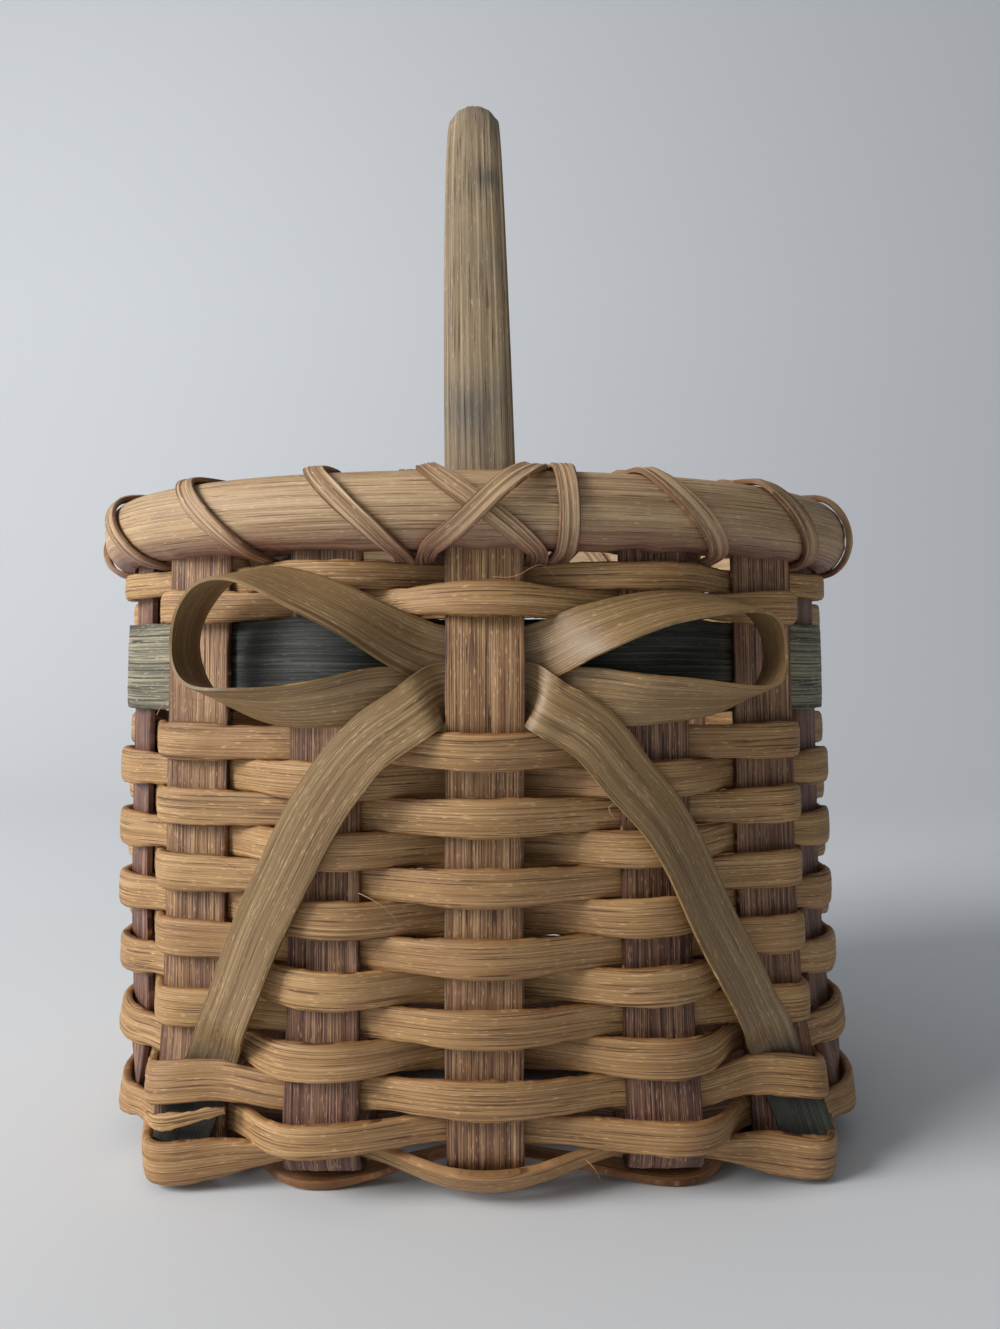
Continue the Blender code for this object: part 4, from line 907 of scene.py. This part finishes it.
def rim_band(name, cad_name, section, thickness, seat, side, seed):
    """A band that follows the rim, with its ends butted behind a back stake."""
    start = STAKE_ARCS[len(STAKES) // 2 + 1]
    arcs = start + np.linspace(0.2 * MM, RIM_ROUND - 0.2 * MM, int(RIM_ROUND / RIM_STEP))
    draw = np.random.default_rng(seed)
    along = (arcs - start) / MM
    grooves = wander(draw, along, len(section), 30.0) * 0.09 * MM
    grooves += draw.uniform(-1, 1, len(section)) * 0.07 * MM
    torn = wander(draw, along, 1, 5.0)[:, 0] * 0.35 * MM + wander(draw, along, 1, 1.6)[:, 0] * 0.2 * MM
    points = np.zeros((len(arcs), len(section), 3))
    for k, arc in enumerate(arcs):
        point, normal = rim_at(arc)
        out = side * (seat(arc) + section[:, 0] * (thickness + grooves[k] * (section[:, 0] > 0.05)))
        points[k, :, 0], points[k, :, 1] = point.x + normal.x * out, point.y + normal.y * out
        low = np.clip(-section[:, 1] * 6 - 2.2, 0.0, 1.0)
        points[k, :, 2] = RIM_MIDDLE + FLOOR_SHIFT + section[:, 1] * RIM_HEIGHT + torn[k] * low
    if side < 0:
        points = points[:, ::-1]
        section = section[::-1]
    path = np.concatenate([[0.0], np.cumsum(np.hypot(*np.diff(section * (thickness, RIM_HEIGHT), axis=0).T))])
    notes, marks = np.zeros(points.shape), np.zeros(points.shape)
    notes[..., 0], notes[..., 1], notes[..., 2] = along[:, None], path / MM, seed * 7.3
    # The lower part of each band takes the darker pink colours: partly stain, partly painted shade on its downward
    # face.
    marks[..., 1] = np.clip(-section[:, 1] * 2.4 - 0.45, 0.0, 0.75)
    return make_piece(name, points, notes, marks, rim_reed, [cad_name])


rim_band("rim_half_round", "rim_outer", half_round(25), RIM_OUTER_THICKNESS, lambda arc: RIM_OUTER_SEAT, 1, 51)
rim_band("rim_flat_oval", "rim_inner", flat_oval(17), RIM_INNER_THICKNESS, inner_seat, -1, 52)
print("two rim bands")

# %% [markdown]
# The lashing. One narrow strip spirals round both bands: down the outside on a slant in each
# stake gap, and up the inside. At each leg of the handle it crosses itself to an X.

# %% Lashing route
LASHING_WIDTH, LASHING_THICKNESS = 3.4 * MM, 0.9 * MM
LASHING_LEAD, LASHING_SEAT, LASHING_LIFT, LASHING_GAP = 13.5 * MM, 0.5 * MM, 1.3 * MM, 0.8 * MM
OUTSIDE_SHARES = ((0.45, 0.45), (0.85, 0.27), (1.0, 0.0), (0.85, -0.27), (0.45, -0.45), (0.0, -0.5))
INSIDE_SHARES = ((0.75, -0.5), (1.0, -0.36), (1.0, 0.36), (0.75, 0.5), (0.0, 0.5))
GAP_SHIFT_SHARES = {1: -0.22, 2: -0.22, 3: 0.0, 13: 0.22, 14: 0.18}


def bundle_outline(arc):
    """Outline of the two bands at an arc, as (out, rise), from the outside's top round."""
    seat = max(inner_seat(arc + side * LASHING_WIDTH / 2) for side in (-1, 0, 1))
    outline = [Vector((RIM_OUTER_SEAT + out * RIM_OUTER_THICKNESS, rise * RIM_HEIGHT))
               for out, rise in OUTSIDE_SHARES]
    outline += [Vector((-seat - out * RIM_INNER_THICKNESS, rise * RIM_HEIGHT)) for out, rise in INSIDE_SHARES]
    return outline


def lashing_spot(arc, step, raise_by):
    """A place of the lashing's middle, a step round the outline, and its outward direction."""
    outline, pushes = bundle_outline(arc), []
    for k in (int(step), int(step) + 1):
        before, here, after = (outline[(k + j) % len(outline)] for j in (-1, 0, 1))
        normals = [Vector((a.y - b.y, b.x - a.x)).normalized() for a, b in ((before, here), (here, after))]
        pushes.append((here, (normals[0] + normals[1]) / (1 + normals[0].dot(normals[1]))))
    share = step - int(step)
    spot = pushes[0][0].lerp(pushes[1][0], share)
    push = pushes[0][1].lerp(pushes[1][1], share) * (LASHING_SEAT + LASHING_THICKNESS / 2 + raise_by)
    point, normal = rim_at(arc)
    spot = spot + push
    place = point + normal * spot.x + Vector((0, 0, RIM_MIDDLE + spot.y + FLOOR_SHIFT))
    return place, (normal * push.x + Vector((0, 0, push.y))).normalized()


def wrap(top, bottom, next_top, raised_out, raised_in):
    """One turn: down the outside from top to bottom, then up the inside to the next top."""
    turn = []
    for step, (_, rise) in enumerate(OUTSIDE_SHARES):
        lift = LASHING_LIFT if raised_out and 0 < step < 4 else 0.0
        share = (OUTSIDE_SHARES[0][1] - rise) / (OUTSIDE_SHARES[0][1] - OUTSIDE_SHARES[-1][1])
        turn.append((top + (bottom - top) * share, step, lift))
    shares = (0.0, 0.12, 1.0, 1.0) if raised_in else (0.05, 0.25, 0.75, 0.95)
    lift, faces, run = (LASHING_LIFT, 4, next_top - bottom) if raised_in else (0.0, 1, next_top - bottom)
    turn.append((bottom + run * shares[0], 6, 0.0))
    for number in range(faces + 1):
        share = shares[1] + (shares[2] - shares[1]) * number / faces
        turn.append((bottom + run * share, 7 + number / faces, lift))
    turn += [(bottom + run * shares[3], 9, 0.0), (next_top, 10, 0.0)]
    return turn


def lashing_runs():
    """Top and bottom arc of each run down the outside, all the way round."""
    clear = STAKE_WIDTH / 2 + CLEARANCE + LASHING_WIDTH / 2
    leg_clear = HOOP_WIDTH / 2 + 3 * CLEARANCE + LASHING_WIDTH / 2
    beside, count, runs = LASHING_WIDTH + LASHING_GAP, len(STAKES), []
    legs = {0: HOOP_ARCS[0], count // 2: HOOP_ARCS[1], count: HOOP_ARCS[0] + RIM_ROUND}
    for gap in range(count):
        here = STAKE_ARCS[gap]
        there = STAKE_ARCS[gap + 1] if gap + 1 < count else STAKE_ARCS[0] + RIM_ROUND
        if gap in legs:
            leg = legs[gap]
            left, right = min(leg - leg_clear, here - clear), max(leg + leg_clear, here + clear)
            runs += [(leg - leg_clear, right, False, False), (leg + leg_clear, left, True, True),
                     (leg + leg_clear + beside, right + beside, False, False)]
            continue
        middle = (here + there) / 2 + GAP_SHIFT_SHARES.get(gap, 0.0) * (there - here - 2 * clear)
        if gap + 1 in legs:
            middle = min(legs[gap + 1] - leg_clear, there - clear) - beside
        runs.append((middle - LASHING_LEAD, middle, False, False))
    return runs


def lashing_table():
    runs, route = lashing_runs(), []
    for number, (top, bottom, raised_out, raised_in) in enumerate(runs):
        after = runs[number + 1][0] if number + 1 < len(runs) else RIM_ROUND + runs[0][0] - 4 * MM
        route += wrap(top, bottom, after, raised_out, raised_in)
    placed = [lashing_spot(*stop) for stop in route]
    rows = []
    for k, (place, outward) in enumerate(placed):
        before, after = placed[max(k - 1, 0)][0], placed[min(k + 1, len(placed) - 1)][0]
        across = (after - before).normalized().cross(outward).normalized()
        rows.append([*place, *(across * (LASHING_WIDTH / 2))])
    return rows


def lashing_stain_and_shade(points):
    """Pinker and darker where the strip turns under the rim: partly a pink stain, partly painted shade under the rim.
    """
    return np.clip((RIM_BOTTOM + 4 * MM - points[..., 2]) / (6 * MM), 0.0, 0.8)


lashing_section = oval_section(13, 0.55 * MM, 0.40 * MM, 0.25 * MM)
where, values = bent(lashing_table(), False, 0.8 * MM)
lay_strip("rim_lashing_cane", where, values, lashing_section, lashing_reed, ["rim_lashing"],
          seed=61, relief=0.13, fray=0.06, wear=lashing_stain_and_shade)
print("lashing", round(where[-1] / MM), "mm long,", len(lashing_runs()), "turns")

# %% [markdown]
# The handle hoop. It is one closed D of split wood: its legs stand inside the centre front and
# back stakes, it runs across the base, and its arch is half an ellipse. Its outer corners are
# shaved off, so the light breaks on three faces.

# %% Handle hoop
HOOP_ARCH_RISE = 86.3 * MM
HOOP_HALF_DEPTH = HALF_DEPTH - HOOP_SEAT
SHAVE_WIDTH, SHAVE_DEPTH, TOP_SHAVE_DEPTH = 2.1 * MM, 1.2 * MM, 2.9 * MM
STAIN_PLACES = ((3.0 * MM, 199 * MM, 5 * MM), (-1.0 * MM, 131 * MM, 6 * MM), (1.5 * MM, 176 * MM, 2.5 * MM))


def hoop_path():
    """Rows (y, z, outward y, outward z) round the hoop, from the middle of the base."""
    rise, corner = HOOP_ARCH_RISE - HOOP_THICKNESS / 2, HOOP_BASE + HOOP_CORNER_RADIUS
    flat = HOOP_HALF_DEPTH - HOOP_CORNER_RADIUS
    path = [(y, HOOP_BASE, 0.0, -1.0) for y in np.linspace(0.2 * MM, flat, 24)[:-1]]
    for angle in np.linspace(-math.pi / 2, 0, 16):
        c, s = math.cos(angle), math.sin(angle)
        path.append((flat + c * HOOP_CORNER_RADIUS, corner + s * HOOP_CORNER_RADIUS, c, s))
    path += [(HOOP_HALF_DEPTH, z, 1.0, 0.0) for z in np.linspace(corner, RIM_TOP, 60)[1:-1]]
    for angle in np.linspace(0, math.pi / 2, 60):
        y, z = HOOP_HALF_DEPTH * math.cos(angle), rise * math.sin(angle)
        out = Vector((y / HOOP_HALF_DEPTH ** 2, z / rise ** 2)).normalized()
        path.append((y, RIM_TOP + z, out.x, out.y))
    return np.array(path + [(-y, z, -oy, oz) for y, z, oy, oz in path[-2::-1]])


def hoop_section(width, shave, count=9):
    """Side and out from the hoop's middle line: an outer face shaved round, a flat inner face."""
    half, thick = width / 2, HOOP_THICKNESS / 2
    shoulder, crown = thick - 0.3 * shave, width * 0.12
    corners = [(half, -thick), (half, thick - shave), (half - SHAVE_WIDTH, shoulder), (crown, thick),
               (-crown, thick), (-half + SHAVE_WIDTH, shoulder), (-half, thick - shave), (-half, -thick)]
    outline = []
    for (x0, y0), (x1, y1) in zip(corners, corners[1:] + corners[:1]):
        for share in np.linspace(0.06, 0.94, count):
            outline.append((x0 + (x1 - x0) * share, y0 + (y1 - y0) * share))
    return np.array(outline)


def handle_hoop():
    path = hoop_path()
    along = np.concatenate([[0.0], np.cumsum(np.hypot(*np.diff(path[:, :2], axis=0).T))]) / MM
    draw = np.random.default_rng(71)
    plain, shaved = hoop_section(HOOP_WIDTH, SHAVE_DEPTH), hoop_section(HOOP_WIDTH, TOP_SHAVE_DEPTH)
    section = plain
    grooves = wander(draw, along, len(section), 45.0) * 0.08 * MM + draw.uniform(-1, 1, len(section)) * 0.03 * MM
    points = np.zeros((len(path), len(section), 3))
    foot = FRONT_STAKE_SHARES[HOOP_STAKE] * HALF_WIDTH_RIM - HOOP_SIDE_SHIFT
    for k, (y, z, out_y, out_z) in enumerate(path):
        share = max(0.0, (z - RIM_TOP) / HOOP_ARCH_RISE)
        spread = 1 + (HOOP_TIP_WIDTH / HOOP_WIDTH - 1) * share
        section = plain + (shaved - plain) * smooth_step(3 * share - 2)
        out = section[:, 1] + grooves[k]
        points[k, :, 0] = foot - HOOP_SIDE_LEAN * share + section[:, 0] * spread
        points[k, :, 1], points[k, :, 2] = y + out_y * out, z + out_z * out
        points[k] = [settled(Vector(place)) for place in points[k]]
    around = np.concatenate([[0.0], np.cumsum(np.hypot(*np.diff(section, axis=0).T))]) / MM
    notes, marks = np.zeros(points.shape), np.zeros(points.shape)
    notes[..., 0], notes[..., 1], notes[..., 2] = along[:, None], around, 71.0
    marks[..., 0] = np.clip(np.abs(section[:, 0]) / (HOOP_WIDTH / 2), 0, 0.95)
    for x, z, size in STAIN_PLACES:
        near = np.hypot(points[..., 0] - foot - x, points[..., 2] - z) / size
        marks[..., 1] = np.maximum(marks[..., 1], np.exp(-near ** 2) * 0.8)
    return make_piece("handle_split_wood", points, notes, marks, handle_wood, ["handle_hoop"])


handle_hoop()

# %% [markdown]
# The bow. Two lengths of thin dyed reed pass behind the proud centre stake. One makes both
# loops, and stands off the wall on its near edge. The other makes the tails, which fall in
# front of the loops and are tucked under the low rows. Each table gives places as shares of the
# bow's size, with the way the ribbon's width points and how far it leans.

# %% Bow tables
LOOP_REACH, LOOP_HEIGHT, LOOP_STAND_OFF = 50 * MM, 20 * MM, 3.8 * MM
TAIL_REACH, TAIL_DROP, TAIL_STAND_OFF = 50 * MM, 76 * MM, 5.0 * MM
LOOP_SHARES = (
    (0.00, 0.41, 0.13, -90, 2), (-0.14, 0.41, 0.13, -90, 2), (-0.20, 0.45, 0.34, -91, 3),
    (-0.27, 0.53, 0.70, -94, 12), (-0.38, 0.66, 1.00, -100, 34), (-0.58, 0.85, 1.00, -116, 50),
    (-0.74, 0.89, 1.00, -138, 66), (-0.86, 0.78, 1.00, -168, 73), (-0.945, 0.56, 1.00, -190, 77),
    (-0.985, 0.33, 1.00, -186, 79), (-0.975, 0.09, 1.00, -186, 78), (-0.92, -0.14, 1.00, -215, 76),
    (-0.82, -0.30, 1.00, -262, 66), (-0.68, -0.40, 1.00, -288, 48), (-0.50, -0.41, 0.95, -282, 30),
    (-0.37, -0.40, 0.75, -274, 9), (-0.27, -0.39, 0.40, -271, 3), (-0.20, -0.38, 0.10, -270, 0),
    (-0.14, -0.37, -0.08, -270, 0), (0.00, -0.37, -0.08, -270, 0), (0.14, -0.37, -0.08, -270, 0),
    (0.20, -0.38, 0.10, -270, 0), (0.27, -0.39, 0.40, -271, 3), (0.37, -0.40, 0.75, -273, 9),
    (0.50, -0.40, 0.95, -276, 28), (0.68, -0.36, 1.00, -280, 46), (0.84, -0.26, 1.00, -300, 66),
    (0.93, -0.10, 1.00, -335, 78), (0.975, 0.12, 1.00, -358, 83), (0.96, 0.36, 1.00, -366, 82),
    (0.90, 0.54, 1.00, -380, 77), (0.82, 0.64, 1.00, -404, 71), (0.68, 0.70, 1.00, -438, 62),
    (0.52, 0.68, 1.00, -444, 50), (0.38, 0.61, 1.00, -446, 34), (0.27, 0.53, 0.70, -448, 12),
    (0.20, 0.45, 0.34, -449, 3), (0.14, 0.41, 0.13, -450, 2), (0.012, 0.41, 0.13, -450, 2),
)
TAIL_SHARES = (
    (-0.885, -0.760, 0.90, 247, 0), (-0.83, -0.68, 1.00, 248, 0), (-0.755, -0.56, 1.04, 249, -2),
    (-0.65, -0.42, 1.08, 246, -4), (-0.565, -0.31, 1.08, 241, -4), (-0.47, -0.215, 1.08, 231, -2),
    (-0.35, -0.13, 1.10, 219, 1), (-0.25, -0.085, 1.04, 209, 3), (-0.195, -0.058, 0.90, 200, 7),
    (-0.155, -0.037, 0.396, 188, -2.7), (0.0, -0.033, 0.396, 180, -2.7), (0.155, -0.037, 0.396, 172, -2.7),
    (0.195, -0.060, 0.90, 158, 7), (0.26, -0.085, 1.04, 148, 3), (0.348, -0.122, 1.10, 138, 3),
    (0.454, -0.205, 1.10, 126, 6), (0.554, -0.280, 1.08, 118, 10), (0.664, -0.396, 1.08, 114, 12),
    (0.764, -0.538, 1.04, 113, 8), (0.895, -0.700, 1.00, 112, 3), (0.940, -0.760, 0.92, 113, 0),
)
LEFT_TUCK_MM = ((-43.8, 24.0, 2.4), (-45.2, 21.0, 1.0), (-46.8, 18.0, 0.1), (-48.8, 14.5, 0.0), (-50.4, 11.0, -0.1),
                (-51.4, 8.8, -0.2))
RIGHT_TUCK_MM = ((51.4, 24.0, 2.4), (52.5, 21.0, 1.0), (53.7, 18.0, 0.1), (55.1, 14.5, 0.0), (56.2, 11.0, -0.1),
                 (56.9, 8.8, -0.2))
print(len(LOOP_SHARES), "loop stations,", len(TAIL_SHARES), "tail stations")

# %% Bow ribbons
BOW_MIDDLE = FRONT_STAKE_SHARES[HOOP_STAKE] * HALF_WIDTH_RIM
TUCK_SLANT = math.radians(26)


def front_wall(x, height, stand_off):
    """Point in front of the wall, with the wall's along and outward directions."""
    half_x, power = half_width(height), squareness(height)
    y = -across_plan(x, half_x, HALF_DEPTH, power)
    normal = plan_normal(x, y, half_x, HALF_DEPTH, power)
    return Vector((x, y + stand_off / normal.y, height)), Vector((0, 0, 1)).cross(normal), normal


def loop_rows():
    rows = []
    for x, z, off, direction, lean in LOOP_SHARES:
        edge, _, _ = front_wall(BOW_MIDDLE + x * LOOP_REACH, BOW_HEIGHT + z * LOOP_HEIGHT, off * LOOP_STAND_OFF)
        turn, lean = math.radians(direction), math.radians(lean)
        half = Vector((math.cos(lean) * math.cos(turn), -math.sin(lean), math.cos(lean) * math.sin(turn)))
        half *= RIBBON_WIDTH / 2
        rows.append(row_of(edge + half, half))
    return rows


def tuck_rows(stake, stations, side):
    """Stations of a tail's end on the face of its stake, held there by the low rows.

    Each is (x, height, lift) in mm. Where the stake turns under, the tail goes straight on down.
    """
    seat = STAKE_THICKNESS / 2 + CLEARANCE + RIBBON_THICKNESS / 2 + 0.3 * MM
    rows = []
    for x, height, lift in stations:
        place = TURN_LENGTH + height * MM - BASE_MIDDLE - TURN_RADIUS
        centre, across, outward, up = stake_frame(stake, max(place, TURN_LENGTH))
        spot = centre + up * min(place - TURN_LENGTH, 0.0) + outward * (seat + lift * MM)
        spot += across * ((x * MM - spot.x) / across.x)
        slanted = across * (side * math.cos(TUCK_SLANT)) - up * math.sin(TUCK_SLANT)
        rows.append(row_of(spot, slanted * (RIBBON_WIDTH / 2)))
    return rows


def tail_rows():
    rows = []
    for x, z, off, direction, lean in TAIL_SHARES:
        centre, along, normal = front_wall(
            BOW_MIDDLE + x * TAIL_REACH, BOW_HEIGHT + z * TAIL_DROP, off * TAIL_STAND_OFF)
        turn, lean = math.radians(direction + 90), math.radians(lean)
        flat = along * math.cos(turn) + Vector((0, 0, math.sin(turn)))
        rows.append(row_of(centre, (flat * math.cos(lean) + normal * math.sin(lean)) * (RIBBON_WIDTH / 2)))
    left = tuck_rows(STAKES[0], LEFT_TUCK_MM, 1)
    right = tuck_rows(STAKES[len(FRONT_STAKE_SHARES) - 1], RIGHT_TUCK_MM, -1)
    return left[::-1] + rows + right


def bow_fade(points):
    """The dye is left only where rows cover the tails, and behind the centre stake."""
    covered = np.clip((26 * MM - points[..., 2]) / (8 * MM), 0.0, 1.0)
    behind = np.clip((9 * MM - np.abs(points[..., 0] - BOW_MIDDLE)) / (6 * MM), 0.0, 1.0)
    return np.clip(0.95 - 0.9 * covered - 0.6 * behind, 0.05, 1.0)


ribbon_section = oval_section(20, 0.42 * MM, 0.38 * MM, 0.26 * MM)
where, values = bent(loop_rows(), False, 0.8 * MM)
lay_strip("bow_loops_reed", where, values, ribbon_section, bow_reed, ["bow_loops"],
          seed=81, relief=0.015, fray=0.05, wear=bow_fade)
where, values = bent(tail_rows(), False, 0.8 * MM)
lay_strip("bow_tails_reed", where, values, ribbon_section, bow_reed, ["bow_tails"],
          seed=82, relief=0.02, fray=0.05, wear=bow_fade)
print("bow tails", round(where[-1] / MM), "mm of reed")

# %% [markdown]
# Loose fibres. Handled reed sheds hairs: some curl off the rows' edges, one springs from the
# rim beside the centre stake. Each is a tapered tube a tenth of a millimetre thick.

# %% Loose fibres
HAIR_RADIUS, HAIR_SIDES = 0.07 * MM, 6
HAIRS_MM = (
    ((-53.3, -51.0, 80.6), (-51.5, -52.0, 82.8), (-48.7, -52.5, 83.6), (-45.2, -51.5, 82.9)),
    ((-54.0, -48.5, 62.6), (-51.5, -50.5, 60.5), (-46.6, -52.5, 57.3), (-40.6, -54.0, 56.0), (-36.8, -55.0, 53.4)),
    ((-17.6, -61.2, 52.7), (-12.9, -62.5, 50.3), (-10.7, -61.6, 47.1)),
    ((3.7, -64.6, 102.9), (8.1, -65.6, 103.2), (11.2, -65.8, 104.6), (13.5, -65.0, 102.8)),
    ((19.0, -57.5, 8.3), (20.4, -59.0, 7.4), (21.2, -58.4, 5.6)),
    ((23.2, -60.5, 66.8), (22.2, -62.6, 66.2), (23.0, -62.8, 64.8)),
)


def hair(number, points_mm):
    table = [[*(Vector(point) * MM), 0.0] for point in points_mm]
    where, values = bent(table, False, 0.4 * MM)
    forward = unit(np.gradient(values[:, :3], axis=0))
    side = unit(np.cross(forward, (0.0, -1.0, 0.2)))
    out = np.cross(forward, side)
    angle = np.linspace(0, 2 * math.pi, HAIR_SIDES, endpoint=False)
    thin = HAIR_RADIUS * (1 - 0.7 * where / where[-1])
    ring = side[:, None] * np.cos(angle)[None, :, None] + out[:, None] * np.sin(angle)[None, :, None]
    points = values[:, None, :3] + ring * thin[:, None, None]
    notes, marks = np.zeros(points.shape), np.zeros(points.shape)
    notes[..., 0], notes[..., 2] = where[:, None] / MM, number
    return make_piece(f"loose_fibre_{number + 1}", points, notes, marks, weaver_reed, [])


for number, points_mm in enumerate(HAIRS_MM):
    hair(number, points_mm)
print(len(HAIRS_MM), "loose fibres")

# %% [markdown]
# Floor, backdrop and light. The basket stands on a pale floor that sweeps up behind it. One soft
# lamp at the left makes the rows round. The room is bright at that side and dim at the other, so
# the basket's right side turns away into brown shade, and the gaps between the rows stay deep.

# %% Floor and backdrop
SWEEP_HALF_WIDTH, SWEEP_FRONT, SWEEP_BACK, SWEEP_RADIUS, SWEEP_TOP = 2.0, -1.2, 0.9, 0.5, 1.6
sweep_finish, sweep_tree, sweep_shader = blank_material("pale painted paper")
sweep_shader.inputs["Base Color"].default_value = linear("#e2e5e8")
sweep_shader.inputs["Roughness"].default_value = 0.9


def sweep():
    """A sheet that runs back along the floor and curves up."""
    profile = [(SWEEP_FRONT, 0.0), (SWEEP_BACK - SWEEP_RADIUS, 0.0)]
    for step in range(1, 13):
        angle = math.pi / 2 * step / 12
        profile.append((SWEEP_BACK - SWEEP_RADIUS + SWEEP_RADIUS * math.sin(angle), SWEEP_RADIUS * (1 - math.cos(angle))))
    profile.append((SWEEP_BACK, SWEEP_TOP))
    points = [(side * SWEEP_HALF_WIDTH, y, z) for y, z in profile for side in (-1, 1)]
    faces = [(k, k + 1, k + 3, k + 2) for k in range(0, len(points) - 2, 2)]
    mesh = bpy.data.meshes.new("sweep")
    mesh.from_pydata(points, [], faces)
    mesh.shade_smooth()
    mesh.materials.append(sweep_finish)
    piece = bpy.data.objects.new("sweep", mesh)
    bpy.context.scene.collection.objects.link(piece)
    return piece


sweep()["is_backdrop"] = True
print("sweep", SWEEP_HALF_WIDTH * 2, "m wide")

# %% Light
KEY_PLACE, KEY_SIZE, KEY_POWER = Vector((-1.05, -0.50, 0.65)), 0.6, 17.0
WORLD_COLOUR, WORLD_LEFT, WORLD_RIGHT = "#eef2f8", 0.48, 0.10


def lamp(name, place, target, size, power, colour):
    light = bpy.data.objects.new(name, bpy.data.lights.new(name, "AREA"))
    light.data.size = size
    light.data.energy = power
    light.data.color = linear(colour)[:3]
    light.location = place
    light.rotation_euler = (target - place).to_track_quat("-Z", "Y").to_euler()
    bpy.context.scene.collection.objects.link(light)


lamp("window", KEY_PLACE, Vector((0, 0, 0.08)), KEY_SIZE, KEY_POWER, "#fbfaf8")
world = bpy.data.worlds.new("room")
world.use_nodes = True
background = world.node_tree.nodes["Background"]
background.inputs["Color"].default_value = linear(WORLD_COLOUR)
direction = node(world.node_tree, "ShaderNodeTexCoord").outputs["Generated"]
sideways = node(world.node_tree, "ShaderNodeSeparateXYZ", {0: direction}).outputs["X"]
brightness = share_between(world.node_tree, sideways, -0.7, 0.7, WORLD_LEFT, WORLD_RIGHT)
world.node_tree.links.new(brightness, background.inputs["Strength"])
bpy.context.scene.world = world
print("one lamp, and a room from", WORLD_LEFT, "at the left to", WORLD_RIGHT, "at the right")

# %% Finish
LOOK_LOW, LOOK_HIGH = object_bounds()
for name, cad, look in (("lowest", CAD_LOW, LOOK_LOW), ("highest", CAD_HIGH, LOOK_HIGH)):
    print(name, "corner moves by", [round((b - a) / MM, 1) for a, b in zip(cad, look)], "mm")
